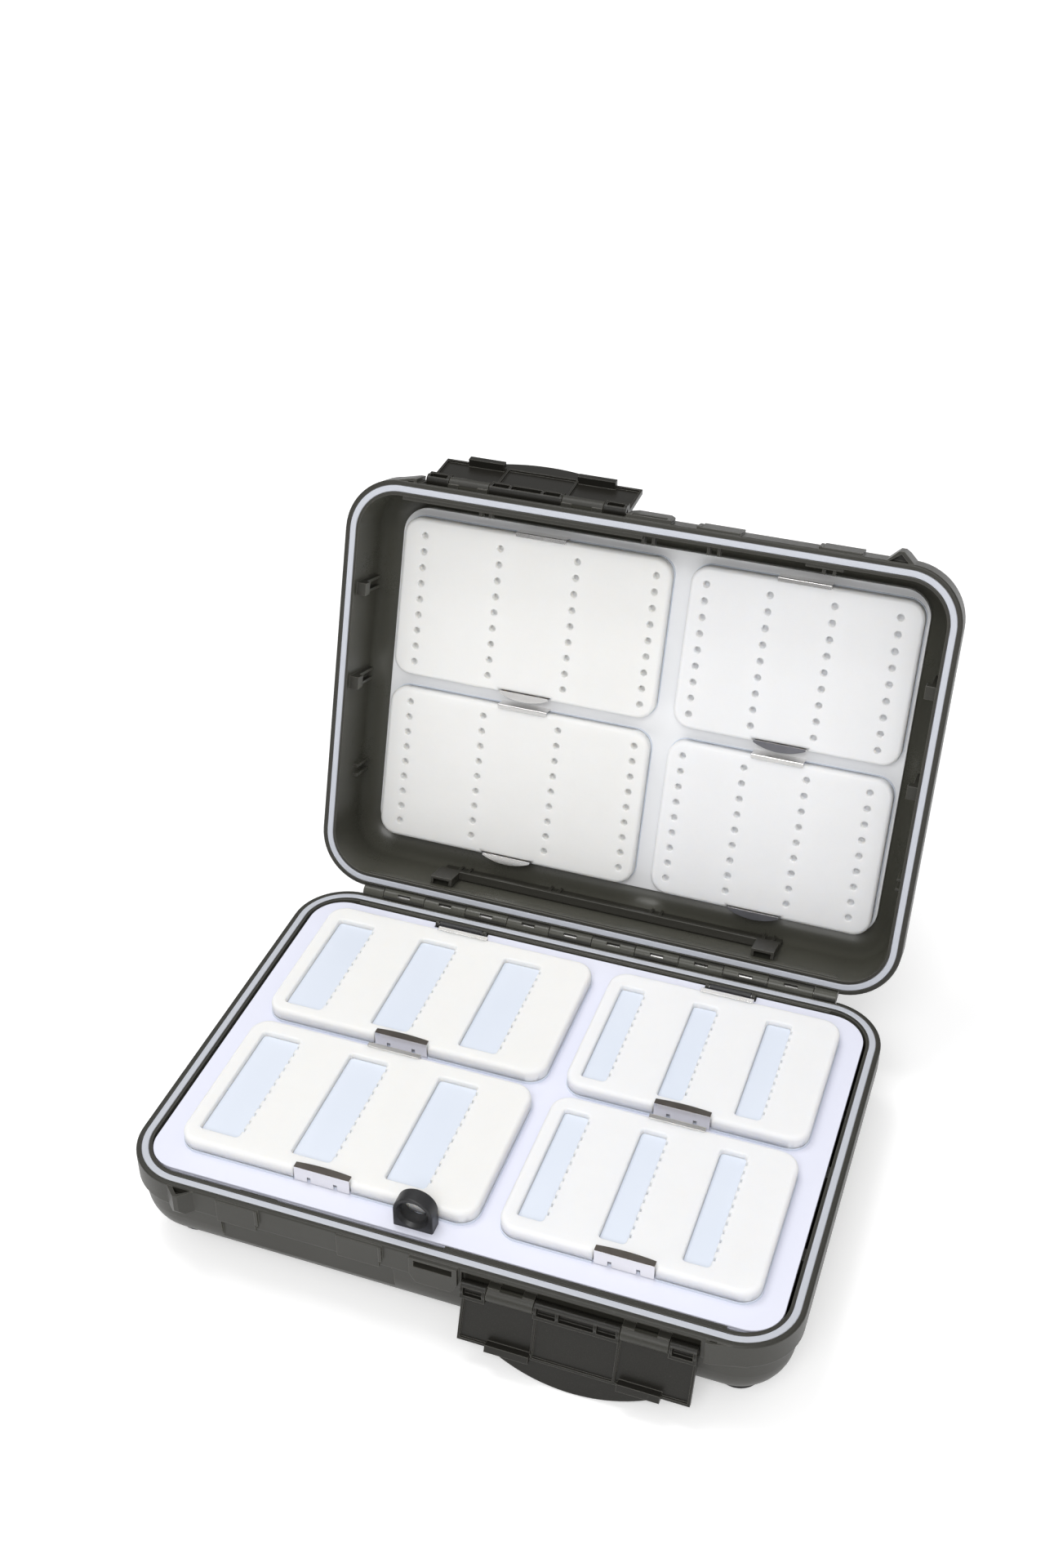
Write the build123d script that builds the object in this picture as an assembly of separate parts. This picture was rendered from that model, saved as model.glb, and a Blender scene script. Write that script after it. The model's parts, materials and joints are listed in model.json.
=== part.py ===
from build123d import *
import os
from math import acos, atan2, copysign, cos, hypot, sin, sqrt

# Fly box: two like shells on a rear hinge, each with a draw latch, a swing page and foam fly cards.
# Every piece is first modelled with the box closed, in a frame whose z = 0 is the parting plane,
# x to the right, y to the rear. The rest pose has the lid and both latches open.

# ---- how pieces of one solid run into each other ------------------------------------------------
EMBED = 1.0  # how far a feature runs into its wall, and a cutter past a face
LAP = 0.1  # overlap that joins two neighbouring boxes

# ---- shells -------------------------------------------------------------------------------------
SHELL_WIDTH = 266.8
SHELL_DEPTH = 188.0
SHELL_CORNER_RADIUS = 24.0
SHELL_HEIGHT = 37.4
RIM_GAP = 0.2  # each rim stops this far short of the parting plane
FLANGE_HEIGHT = 11.6
TIER_SETBACK = 1.8
TIER_DRAFT = 3.0
TIER_BOTTOM_RADIUS = 18.5
RIM_WALL = 6.1  # outer face of the flange to the cavity, along x
RIM_WALL_FRONT = 6.4  # the same along y
FLOOR_THICKNESS = 2.4
CAVITY_DRAFT = 1.0
CAVITY_FLOOR_RADIUS = 11.0
FLANGE_EDGE_RADIUS = 0.7

# ---- rim seals ----------------------------------------------------------------------------------
SEAL_INSET = 3.5  # outer face of the flange to the seal's centreline
SEAL_WIDTH = 2.86
SEAL_HEIGHT = 2.0
SEAL_GAP = 0.15  # top of a seal to the parting plane
SEAL_SIDE_CLEARANCE = 0.05
SEAL_EDGE_RADIUS = 0.6

# ---- feet ---------------------------------------------------------------------------------------
FOOT_RADIUS = 9.0
FOOT_HEIGHT = 4.6
FOOT_EDGE_RADIUS = 0.8
FOOT_INSET_X = 22.0  # outer face of the flange to a foot's centre
FOOT_INSET_FRONT = 23.0
FOOT_INSET_REAR = 12.5  # close to the hinge, so that the open box doesn't fall back
FOOT_BOSS_MARGIN = 0.6
FOOT_BOSS_HEIGHT = 8.0

# ---- hinge --------------------------------------------------------------------------------------
HINGE_OFFSET = 1.84  # outer face of the rear flange to the hinge axis
HINGE_BARREL_RADIUS = 3.0
HINGE_PIN_RADIUS = 1.25
PIN_CLEARANCE = 0.05
HINGE_HALF_LENGTH = 110.0
HINGE_PITCH = 20.0
KNUCKLE_END_GAP = 0.3
BARREL_CLEARANCE = 0.35
HINGE_WEB_DROP = 9.5
HINGE_WEB_OUT = 0.2  # foot of a web in front of the flange's rear face
HINGE_PIN_INSET = 1.0
HINGE_SLOT_LENGTH = 6.0
HINGE_SLOT_WIDTH = 1.5
HINGE_SLOT_TILT = 30.0
LID_OPEN_ANGLE = 107.66

# ---- draw latch, as the base carries it; the lid's is the same half turned over -------------------
LATCH_AXIS_OUT = 0.7  # latch axis in front of the flange's face
LATCH_AXIS_DROP = 8.8  # latch axis below the parting plane
LATCH_LEFT = 10.65
LATCH_SPAN_WIDTHS = (10.0, 18.35, 32.8, 18.1, 10.4)  # latch and shell knuckles in turn, left to right
LATCH_BARREL_RADIUS = 2.85
LATCH_PIN_RADIUS = 1.0
LATCH_PIN_INSET = 0.5
LATCH_PLATE_INNER = 0.9  # from the axis outwards
LATCH_SKIN_INNER = 1.9
LATCH_PLATE_OUTER = 3.1
LATCH_REACH = 23.0  # axis to the straight free edge
LATCH_RIB = 1.0
LATCH_BOX_HEIGHT = 3.6
LATCH_BOX_INNER = -2.3
LATCH_POCKET_LOW = -1.2
LATCH_POCKET_HIGH = 2.3
LATCH_POCKET_WALL = 1.2
LATCH_POCKET_DEPTH = 2.2
END_POCKETS = (0, 1)  # pocket edges as shares of a knuckle
CENTRE_POCKETS = (0, 0.27, 0.73, 1)
HOOK_OFFSETS = ((11.65, 28.75), (62.35, 78.75))  # from the latch's left edge
HOOK_PROUD = 0.6  # past the straight free edge
HOOK_THICKNESS = 2.9
HOOK_DEPTH = 3.6
LIP_HALF_CHORD = 35.5
LIP_REACH = 10.4
LIP_ROOT = 5.0
LIP_THICKNESS = 1.6
LATCH_OPEN_ANGLE = 161.0
LATCH_SWING_CLEARANCE = 0.35
BAY_DEPTH = 2.4  # from the flange's face
BAY_TOP = 2.0
BAY_BOTTOM = 13.0
BAY_SIDE_CLEARANCE = 0.4
KNUCKLE_HORN_WIDTH = 4.6
KNUCKLE_HORN_TOP = 3.4  # above the axis
KNUCKLE_HORN_OUT = 0.2

# ---- bosses on the front of each shell ------------------------------------------------------------
LUG_PROUD = 1.0
LUG_BAR_WIDTH = 1.2
LUG_BAR_HEIGHT = 7.5
LUG_BAR_PROUD = 0.3
BOSS_TOP = 0.6  # tops of the front bosses below the parting plane
PANEL_MARGIN_LEFT = 0.4  # past the lugs above it
PANEL_MARGIN_RIGHT = 4.3
PANEL_DEPTH = 3.3  # from the flange's face
PANEL_HEIGHT = 26.0
PANEL_CORNER_RADIUS = 5.0
KEEPER_GAP = 1.65  # to the latch
KEEPER_WIDTH = 19.0
KEEPER_PROUD = 1.6
KEEPER_HEIGHT = 12.7
KEEPER_SHOULDER = 8.5
KEEPER_TAPER = 2.5
KEEPER_SLOT_HALF = 7.6
KEEPER_SLOT_TOP = 1.4
KEEPER_SLOT_HEIGHT = 3.4
KEEPER_SLOT_DEPTH = 2.6
VEE_INSET = 1.1  # root of the guide lug behind the end of the twin's latch
VEE_WIDTH = 11.2
VEE_APEX = 5.5  # from the root's right end
VEE_TIP_WIDTH = 2.0
VEE_PROUD = 4.4
VEE_HEIGHT = 10.6
VEE_TOE_DEPTH = 1.6
VEE_TOE_HEIGHT = 2.4
VEE_WALL = 1.2
VEE_POCKET_DEPTH = 3.0
WEDGE_GAP = 2.2  # to the latch
WEDGE_LENGTH = 15.5
WEDGE_FLAT = 2.0
WEDGE_PROUD = 1.6
WEDGE_POCKET_WIDTH = 2.8
LUG_ROOT = 3.0  # how deep the corner lugs root in the flange

# ---- inside of each shell -------------------------------------------------------------------------
FRONT_LIP_LEFT = 1.0
FRONT_LIP_CORNER = 1.4  # to where the cavity's corner begins
FRONT_LIP_PROUD = 1.6
FRONT_LIP_HEIGHT = 3.4
REAR_STRIP_CORNER = 0.4  # to where the cavity's corner begins
REAR_STRIP_THICKNESS = 0.8
REAR_STRIP_HEIGHT = 3.0
REAR_STRIP_SLANT = 2.0
DETENT_LEFT = -83.0
DETENT_RIGHT = -67.5
DETENT_PROUD = 1.4
DETENT_TOP = 1.2
DETENT_HEIGHT = 2.0
SIDE_HOOK_Y = (-43.0, 0.0)
SIDE_RIB_Y = 45.0
SIDE_RIB_PAIR_PITCH = 4.4
WALL_RIB_WIDTH = 1.2
WALL_RIB_PROUD = 2.6
SIDE_HOOK_DEPTH = 24.0
SIDE_HOOK_PROUD = 4.4
SIDE_HOOK_HEIGHT = 5.0
SIDE_RIB_TOP = 15.0
SIDE_RIB_RISE = 9.4  # above the shell's underside, where the wall still covers their backs
FRONT_HOOK_X = (-77.0, -29.0, -1.0, 71.0)
FRONT_HOOK_PROUD = 4.0
FRONT_HOOK_HEIGHT = 4.0

# ---- snap-in rail on the hinge side of each shell ---------------------------------------------------
RAIL_LEFT = -79.8
RAIL_RIGHT = 80.0
RAIL_WALL_GAP = 0.9  # to the cavity's mouth line
RAIL_THICKNESS = 1.2
RAIL_TOP = 14.5
RAIL_FLOOR_GAP = 9.0
RAIL_LEDGE_DEPTH = 3.6
RAIL_LEDGE_HEIGHT = 2.0
RAIL_END_WIDTH = 10.0
RAIL_END_TOP = 5.0
LID_RAIL_END_TOP = 3.5
RAIL_RIB_X = (-74.0, -22.0, 26.0, 70.0)
RAIL_RIB_PROUD = 1.0

# ---- swing page -------------------------------------------------------------------------------------
PAGE_SIDE_CLEARANCE = 1.3  # to the cavity's mouth
PAGE_FRONT_CLEARANCE = 0.5  # to the front lip
PAGE_REAR_CLEARANCE = 2.2  # to the cavity's mouth
PAGE_TOP = 0.5  # below the parting plane
PAGE_THICKNESS = 2.4
PAGE_FRONT_RADIUS = 13.0
PAGE_REAR_RADIUS = 15.0
PAGE_GROOVE_WIDTH = 0.4
PAGE_GROOVE_DEPTH = 0.6
PAGE_REST_GAP = 0.3
PAGE_HINGE_SETBACK = 2.7  # in front of the rail's back
PAGE_HINGE_RISE = 0.6  # above the parting plane
PAGE_HINGE_SPANS = ((-70.0, -46.0), (55.0, 77.0))
PAGE_KNUCKLE_RADIUS = 1.3
PAGE_PIN_RADIUS = 0.7
PAGE_EAR_WIDTH = 1.6
PAGE_EAR_DROP = 3.6
PAGE_PIN_INSET = 0.2
PAGE_NOTCH_CLEARANCE = 0.4
PAGE_LEAF_THICKNESS = 1.1
PAGE_LEAF_DEPTH = 9.0
PAGE_LEAF_WEB = 1.6
PAGE_LEAF_RADIUS = 2.0
PAGE_RAISED_ANGLE = 100.0

# ---- finger ring ------------------------------------------------------------------------------------
RING_LEFT = -21.35
RING_WIDTH = 16.0
RING_DEPTH = 6.4
RING_SETBACK = 2.7  # from the page's front edge
RING_SHOULDER = 7.5
RING_BORE_RADIUS = 5.5
RING_FUNNEL_RADIUS = 6.6
RING_FUNNEL_DEPTH = 1.6
RING_EDGE_RADIUS = 0.7

# ---- fly cards: a backing plate with a foam slab, on the page and in the lid --------------------------
CARD_SIDE_LEFT = 11.8  # a card to the cavity's mouth
CARD_SIDE_RIGHT = 10.9
CARD_SPLIT = (8.0, 16.4)  # right edge of the wide column, left edge of the narrow one
CARD_INNER_EDGE = 3.15
CARD_ENDS = 12.3  # a card to the cavity's mouth at the front and rear
CARD_CORNER_RADIUS = 8.0
BACKING_THICKNESS = 1.0
BACKING_MARGIN = 0.3
FOAM_THICKNESS = 5.5
FOAM_EDGE_RADIUS = 1.8
WINDOW_INSETS = {"wide": (14.75, 30.45), "narrow": (11.2, 25.1)}  # card edge to first and last centre
WINDOW_COUNT = 3
WINDOW_WIDTH = {"wide": 16.8, "narrow": 10.5}
WINDOW_MARGINS = {-1: (7.1, 7.45), 1: (5.65, 8.9)}  # row: from the card's front and rear edges
WINDOW_CORNER_RADIUS = 1.6
WINDOW_PAD_HEIGHT = 2.9  # raised floor of a window
WINDOW_PAD_GAP = 0.1
NOTCH_COUNT = 12
NOTCH_WIDTH = 1.5
NOTCH_DEPTH = 0.9
HOLE_INSETS = {"wide": (10.0, 6.7), "narrow": (7.1, 10.0)}  # card edge to first and last column
HOLE_COLUMNS = 4
HOLE_ROWS = 9
HOLE_INNER_MARGIN = 6.45
HOLE_OUTER_MARGIN = 7.7
HOLE_RADIUS = 1.45
HOLE_DEPTH = 4.0

# ---- spring-steel clips that hold the cards -----------------------------------------------------------
CLIP_WIDTH = 23.0
CLIP_STEEL = 0.5
LIP_BITE = {"page": 1.6, "lid": 1.1}  # how far a fixed lip laps over the foam
LIP_END_RADIUS = 0.5
TAB_BITE = {"page": 2.2, "lid": 0.5}  # how far a release tab laps over the foam
TAB_BULGE = {"page": 0.7, "lid": -2.6}  # bow of its edge over the foam, or below 0 of its thumb edge
LID_CLIP_SHIFT = {"wide": 1.95, "narrow": -1.4}  # from the middle of its card
CLIP_BEND_RADIUS = 0.45
TAB_FOOT_GAP = 0.3
TAB_FOAM_GAP = 0.3
TAB_CUT_DEPTH = 1.0
TAB_CUT_MARGIN = 0.6
LIP_CUT_CLEARANCE = 0.3
TAB_SLOT_WIDTH = 1.5
TAB_SLOT_HEIGHT = 2.8
TAB_SLOT_X = 5.5
LIP_WALL_GAP = 0.45

# ---- lid liner ----------------------------------------------------------------------------------------
LINER_SIDE_GAP = 9.3  # to the cavity's mouth
LINER_END_GAP = 9.5
LINER_CORNER_RADIUS = 12.0
LINER_THICKNESS = 3.3
LINER_SEAT_GAP = 0.3
LID_CARD_SHIFT = 0.8  # of the lid's cards towards the hinge

# ---- worked out from the sizes above --------------------------------------------------------------------
PARTING_HEIGHT = SHELL_HEIGHT + FOOT_HEIGHT
FOOT_X = SHELL_WIDTH / 2 - FOOT_INSET_X
FOOT_FRONT_Y = FOOT_INSET_FRONT - SHELL_DEPTH / 2
FOOT_REAR_Y = SHELL_DEPTH / 2 - FOOT_INSET_REAR
HALF_DEPTH = SHELL_DEPTH / 2
CAVITY_HALF_WIDTH = SHELL_WIDTH / 2 - RIM_WALL
CAVITY_HALF_DEPTH = HALF_DEPTH - RIM_WALL_FRONT
CAVITY_CORNER_X = SHELL_WIDTH / 2 - SHELL_CORNER_RADIUS
FRONT_LIP_RIGHT = CAVITY_CORNER_X - FRONT_LIP_CORNER
REAR_STRIP_HALF = CAVITY_CORNER_X - REAR_STRIP_CORNER
HINGE_Y = HALF_DEPTH + HINGE_OFFSET
LATCH_Y = -HALF_DEPTH - LATCH_AXIS_OUT
LATCH_Z = -LATCH_AXIS_DROP
LATCH_RIGHT = LATCH_LEFT + sum(LATCH_SPAN_WIDTHS)
LATCH_EDGES = [LATCH_LEFT + sum(LATCH_SPAN_WIDTHS[:count]) for count in range(6)]
LATCH_SPANS = list(zip(LATCH_EDGES[:-1], LATCH_EDGES[1:]))
LATCH_KNUCKLES = LATCH_SPANS[0::2]
SHELL_KNUCKLES = LATCH_SPANS[1::2]
HOOK_SPANS = [(LATCH_LEFT + start, LATCH_LEFT + end) for start, end in HOOK_OFFSETS]
BAY_BACK = HALF_DEPTH - BAY_DEPTH
CARD_HEIGHT = BACKING_THICKNESS + FOAM_THICKNESS
CARD_COLUMNS = {
    "wide": (-CAVITY_HALF_WIDTH + CARD_SIDE_LEFT, CARD_SPLIT[0]),
    "narrow": (CARD_SPLIT[1], CAVITY_HALF_WIDTH - CARD_SIDE_RIGHT),
}
CARD_OUTER_EDGE = CAVITY_HALF_DEPTH - CARD_ENDS
HOLE_NEAR = CARD_INNER_EDGE + HOLE_INNER_MARGIN
HOLE_FAR = CARD_OUTER_EDGE - HOLE_OUTER_MARGIN
SIDE_RIB_BOTTOM = SHELL_HEIGHT - SIDE_RIB_RISE
RAIL_BOTTOM = SHELL_HEIGHT - FLOOR_THICKNESS - RAIL_FLOOR_GAP
LINER_HALF_WIDTH = CAVITY_HALF_WIDTH - LINER_SIDE_GAP
LINER_HALF_DEPTH = CAVITY_HALF_DEPTH - LINER_END_GAP
PAGE_TOP_Z = -PAGE_TOP
PAGE_BOTTOM_Z = -PAGE_TOP - PAGE_THICKNESS
PAGE_HALF_WIDTH = CAVITY_HALF_WIDTH - PAGE_SIDE_CLEARANCE
PAGE_FRONT = -CAVITY_HALF_DEPTH + FRONT_LIP_PROUD + PAGE_FRONT_CLEARANCE
PAGE_REAR = CAVITY_HALF_DEPTH - PAGE_REAR_CLEARANCE
RAIL_BACK = CAVITY_HALF_DEPTH - RAIL_WALL_GAP
PAGE_HINGE_Y = RAIL_BACK - PAGE_HINGE_SETBACK
PAGE_HINGE_Z = PAGE_HINGE_RISE
RING_FRONT = PAGE_FRONT + RING_SETBACK
LINER_FACE_Z = SHELL_HEIGHT - FLOOR_THICKNESS - LINER_SEAT_GAP - LINER_THICKNESS


def block(x, y, z):
    """Box between two values along each axis."""
    size = [max(span) - min(span) for span in (x, y, z)]
    centre = [(span[0] + span[1]) / 2 for span in (x, y, z)]
    return Pos(*centre) * Box(*size)


def slab(half_width, half_depth, radius, low, high):
    """Upright slab with rounded corners in plan, centred on the Z axis."""
    outline = RectangleRounded(2 * half_width, 2 * half_depth, radius)
    return Pos(0, 0, low) * extrude(outline, high - low)


def rod(radius, x, y, z):
    """Cylinder along X between two x values."""
    length = x[1] - x[0]
    return Pos((x[0] + x[1]) / 2, y, z) * Rot(0, 90, 0) * Cylinder(radius, length)


def prism(points, plane, length):
    """Polygon drawn on a plane, extruded along the plane's normal."""
    return extrude(plane * Polygon(*points, align=None), length, dir=plane.z_dir)


def level(height):
    """Horizontal plane at a height."""
    return Plane.XY.offset(height)


def turn_about_x(shape, y, z, angle):
    """Turn a shape about a line parallel to X through (y, z)."""
    return Pos(0, y, z) * Rot(angle, 0, 0) * Pos(0, -y, -z) * shape


def join(shapes):
    """Fuse a list of shapes that touch or overlap into one."""
    result = shapes[0]
    for shape in shapes[1:]:
        result = result + shape
    return result


def group(shapes):
    """Separate solids kept side by side in one node."""
    return Compound(children=[solid for shape in shapes for solid in shape.solids()])


def shorten(span, gap):
    """A knuckle's span less half of the end gap at each end."""
    return (span[0] + gap / 2, span[1] - gap / 2)


# ---- placing pieces --------------------------------------------------------------------------------------
def in_base(shape):
    """Closed frame to the rest pose, for what the base carries."""
    return Pos(0, 0, PARTING_HEIGHT) * shape


def in_lid(shape):
    """Closed frame to the rest pose, for what the open lid carries."""
    return in_base(turn_about_x(shape, HINGE_Y, 0, -LID_OPEN_ANGLE))


def turned_over(shape):
    """The lid's half of a feature that both shells have."""
    return Rot(0, 180, 0) * shape


# ---- shells ------------------------------------------------------------------------------------------------
def shell_walls():
    """Flange band over a drafted, round-bottomed tub."""
    flange = slab(SHELL_WIDTH / 2, HALF_DEPTH, SHELL_CORNER_RADIUS, -FLANGE_HEIGHT, -RIM_GAP)
    caps = flange.faces().sort_by(Axis.Z)
    flange = fillet(caps[0].edges() + caps[-1].edges(), FLANGE_EDGE_RADIUS)
    tier_height = SHELL_HEIGHT - FLANGE_HEIGHT + FLANGE_EDGE_RADIUS
    tier_plane = Plane(origin=(0, 0, tier_height - SHELL_HEIGHT), z_dir=(0, 0, -1))
    outline = RectangleRounded(
        SHELL_WIDTH - 2 * TIER_SETBACK,
        SHELL_DEPTH - 2 * TIER_SETBACK,
        SHELL_CORNER_RADIUS - TIER_SETBACK,
    )
    tier = extrude(tier_plane * outline, tier_height, taper=TIER_DRAFT)
    tier = fillet(tier.faces().sort_by(Axis.Z)[0].edges(), TIER_BOTTOM_RADIUS)
    return flange + tier


def shell_cavity():
    """Drafted hollow with a rounded floor edge."""
    outline = RectangleRounded(
        2 * CAVITY_HALF_WIDTH, 2 * CAVITY_HALF_DEPTH, SHELL_CORNER_RADIUS - RIM_WALL
    )
    mouth = Plane(origin=(0, 0, 0), z_dir=(0, 0, -1))
    hollow = extrude(mouth * outline, SHELL_HEIGHT - FLOOR_THICKNESS, taper=CAVITY_DRAFT)
    return fillet(hollow.faces().sort_by(Axis.Z)[0].edges(), CAVITY_FLOOR_RADIUS)


def seal_ring(extra):
    """Closed band along the seal's centreline, widened on each side by extra."""
    centre_x = SHELL_WIDTH / 2 - SEAL_INSET
    centre_y = HALF_DEPTH - SEAL_INSET
    radius = SHELL_CORNER_RADIUS - SEAL_INSET
    half = SEAL_WIDTH / 2 + extra
    low = -SEAL_GAP - SEAL_HEIGHT
    outer = slab(centre_x + half, centre_y + half, radius + half, low, -SEAL_GAP)
    inner = slab(centre_x - half, centre_y - half, radius - half, low, -SEAL_GAP)
    return outer - inner


def foot_bosses():
    """Round pads that bring the feet's seats down to the tub's floor level."""
    pads = []
    for y, height in ((FOOT_FRONT_Y, FOOT_BOSS_HEIGHT), (FOOT_REAR_Y, TIER_BOTTOM_RADIUS)):
        pad = Cylinder(FOOT_RADIUS + FOOT_BOSS_MARGIN, height)
        pads += [Pos(x, y, height / 2 - SHELL_HEIGHT) * pad for x in (-FOOT_X, FOOT_X)]
    return pads


def knuckle_spans():
    """The spans of the knuckles that a shell carries; its twin, turned over, fills the rest."""
    half = HINGE_HALF_LENGTH
    spans = [(-half, -half + HINGE_PITCH / 2)]
    start = -half + 1.5 * HINGE_PITCH
    while start < half:
        spans.append((start, min(start + HINGE_PITCH, half)))
        start += 2 * HINGE_PITCH
    return spans


def hinge_web(span):
    """Gusset from the rear wall, tangent to the barrel."""
    foot_y, foot_z = HALF_DEPTH + HINGE_WEB_OUT, -HINGE_WEB_DROP
    reach = hypot(foot_y - HINGE_Y, foot_z)
    tangent = atan2(foot_z, foot_y - HINGE_Y) + acos(HINGE_BARREL_RADIUS / reach)
    touch_y = HINGE_Y + HINGE_BARREL_RADIUS * cos(tangent)
    touch_z = HINGE_BARREL_RADIUS * sin(tangent)
    root_y = HALF_DEPTH - EMBED
    points = [(root_y, -RIM_GAP), (root_y, foot_z), (foot_y, foot_z), (touch_y, touch_z), (HINGE_Y, 0)]
    side = Plane(origin=(span[0], 0, 0), x_dir=(0, 1, 0), z_dir=(1, 0, 0))
    return prism(points, side, span[1] - span[0])


def hinge_knuckle(span):
    """One barrel of the hinge with its gusset."""
    short = shorten(span, KNUCKLE_END_GAP)
    return rod(HINGE_BARREL_RADIUS, short, HINGE_Y, 0) + hinge_web(short)


def hinge_slot(span):
    """Cored slot at the middle of a full knuckle, down to the pin."""
    middle = (span[0] + span[1]) / 2
    cut = Pos(0, 0, HINGE_BARREL_RADIUS) * Box(HINGE_SLOT_LENGTH, HINGE_SLOT_WIDTH, 2 * HINGE_BARREL_RADIUS)
    return Pos(middle, HINGE_Y, 0) * Rot(HINGE_SLOT_TILT, 0, 0) * cut


def latch_bay():
    """Recess in the flange that the latch's knuckles turn in."""
    x = (LATCH_LEFT - BAY_SIDE_CLEARANCE, LATCH_RIGHT + BAY_SIDE_CLEARANCE)
    return block(x, (-HALF_DEPTH - EMBED, -BAY_BACK), (-BAY_BOTTOM, -BAY_TOP))


def latch_seat(span):
    """Shell knuckle of the latch: barrel, web to the bay's back and two raised horns."""
    x = shorten(span, KNUCKLE_END_GAP)
    wall = (-BAY_BACK + EMBED, LATCH_Y)
    parts = [rod(LATCH_BARREL_RADIUS, x, LATCH_Y, LATCH_Z)]
    parts.append(block(x, wall, (LATCH_Z - LATCH_BARREL_RADIUS, LATCH_Z)))
    front = (-BAY_BACK + EMBED, LATCH_Y - KNUCKLE_HORN_OUT)
    for left in (x[0], x[1] - KNUCKLE_HORN_WIDTH):
        horn = (left, left + KNUCKLE_HORN_WIDTH)
        parts.append(block(horn, front, (LATCH_Z, LATCH_Z + KNUCKLE_HORN_TOP)))
    return join(parts)


def mirrored(span):
    """A span on the other side of the middle, where the twin's latch reaches over."""
    return (-span[1], -span[0])


def catch_lugs():
    """Raised pads whose lower edge the twin's hooks draw on, each with a small stop bar."""
    parts = []
    for span in HOOK_SPANS:
        x = mirrored(span)
        face = -HALF_DEPTH - LUG_PROUD
        parts.append(block(x, (face, -HALF_DEPTH + EMBED), (-FLANGE_HEIGHT, -BOSS_TOP)))
        bar = (x[1], x[1] + LUG_BAR_WIDTH)
        bar_y = (face - LUG_BAR_PROUD, -HALF_DEPTH + EMBED)
        parts.append(block(bar, bar_y, (-BOSS_TOP - LUG_BAR_HEIGHT, -BOSS_TOP)))
    return parts


def catch_panel():
    """Shallow panel sunk into the tub below the catch lugs."""
    left = mirrored(HOOK_SPANS[-1])[0] - PANEL_MARGIN_LEFT
    right = mirrored(HOOK_SPANS[0])[1] + PANEL_MARGIN_RIGHT
    y = (-HALF_DEPTH - EMBED, -HALF_DEPTH + PANEL_DEPTH)
    cut = block((left, right), y, (-FLANGE_HEIGHT - PANEL_HEIGHT, -FLANGE_HEIGHT))
    return fillet(cut.edges().filter_by(Axis.Y), PANEL_CORNER_RADIUS)


def keeper():
    """Middle boss with a lock slot over a tapering panel."""
    right = LATCH_LEFT - KEEPER_GAP
    left = right - KEEPER_WIDTH
    low = -BOSS_TOP - KEEPER_HEIGHT
    shoulder = -BOSS_TOP - KEEPER_SHOULDER
    points = [(left, -BOSS_TOP), (left, shoulder), (left + KEEPER_TAPER, low)]
    points += [(right - KEEPER_TAPER, low), (right, shoulder), (right, -BOSS_TOP)]
    front_y = -HALF_DEPTH - KEEPER_PROUD
    front = Plane(origin=(0, front_y, 0), x_dir=(1, 0, 0), z_dir=(0, 1, 0))
    flipped = [(x, -z) for x, z in points]
    body = prism(flipped, front, KEEPER_PROUD + TIER_SETBACK + EMBED)
    middle = (left + right) / 2
    slot_x = (middle - KEEPER_SLOT_HALF, middle + KEEPER_SLOT_HALF)
    slot_y = (front_y - EMBED, front_y + KEEPER_SLOT_DEPTH)
    slot_z = (-KEEPER_SLOT_TOP - KEEPER_SLOT_HEIGHT, -KEEPER_SLOT_TOP)
    return body, block(slot_x, slot_y, slot_z)


def vee_lug():
    """Pointed guide lug at the corner, with an open pocket in its top."""
    right = -LATCH_RIGHT + VEE_INSET
    left = right - VEE_WIDTH
    apex = right - VEE_APEX
    wall = -HALF_DEPTH + LUG_ROOT
    tip = -HALF_DEPTH - VEE_PROUD
    half_tip = VEE_TIP_WIDTH / 2
    outline = [(left, wall), (left, -HALF_DEPTH), (apex - half_tip, tip)]
    outline += [(apex + half_tip, tip), (right, -HALF_DEPTH), (right, wall)]
    top = -BOSS_TOP
    body = prism(outline, level(top - VEE_HEIGHT), VEE_HEIGHT)
    toe = body.faces().sort_by(Axis.Z)[0].edges().sort_by(Axis.Y)[0]
    body = chamfer(toe, VEE_TOE_HEIGHT, VEE_TOE_DEPTH)
    pocket = [(left + 2 * VEE_WALL, -HALF_DEPTH), (right - VEE_WALL, -HALF_DEPTH), (apex, tip + VEE_WALL)]
    return body, prism(pocket, level(top - VEE_POCKET_DEPTH), VEE_POCKET_DEPTH + EMBED)


def flange_front(x):
    """Where the flange's front face lies at x, round its corner too."""
    corner_x = SHELL_WIDTH / 2 - SHELL_CORNER_RADIUS
    past = max(0.0, abs(x) - corner_x)
    return -HALF_DEPTH + SHELL_CORNER_RADIUS - sqrt(SHELL_CORNER_RADIUS**2 - past**2)


def wedge_lug():
    """Low wedge beside the latch bay, running out on the corner."""
    left = LATCH_RIGHT + WEDGE_GAP
    right = left + WEDGE_LENGTH
    wall = -HALF_DEPTH + LUG_ROOT
    front = -HALF_DEPTH - WEDGE_PROUD
    outline = [(left, wall), (left, front), (left + WEDGE_FLAT, front), (right, flange_front(right)), (right, wall)]
    solid = prism(outline, level(-FLANGE_HEIGHT), FLANGE_HEIGHT - BOSS_TOP)
    pocket_x = (left + VEE_WALL, left + VEE_WALL + WEDGE_POCKET_WIDTH)
    pocket_z = (-BOSS_TOP - VEE_POCKET_DEPTH, -BOSS_TOP + EMBED)
    return solid, block(pocket_x, (front + VEE_WALL, -HALF_DEPTH), pocket_z)


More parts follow.
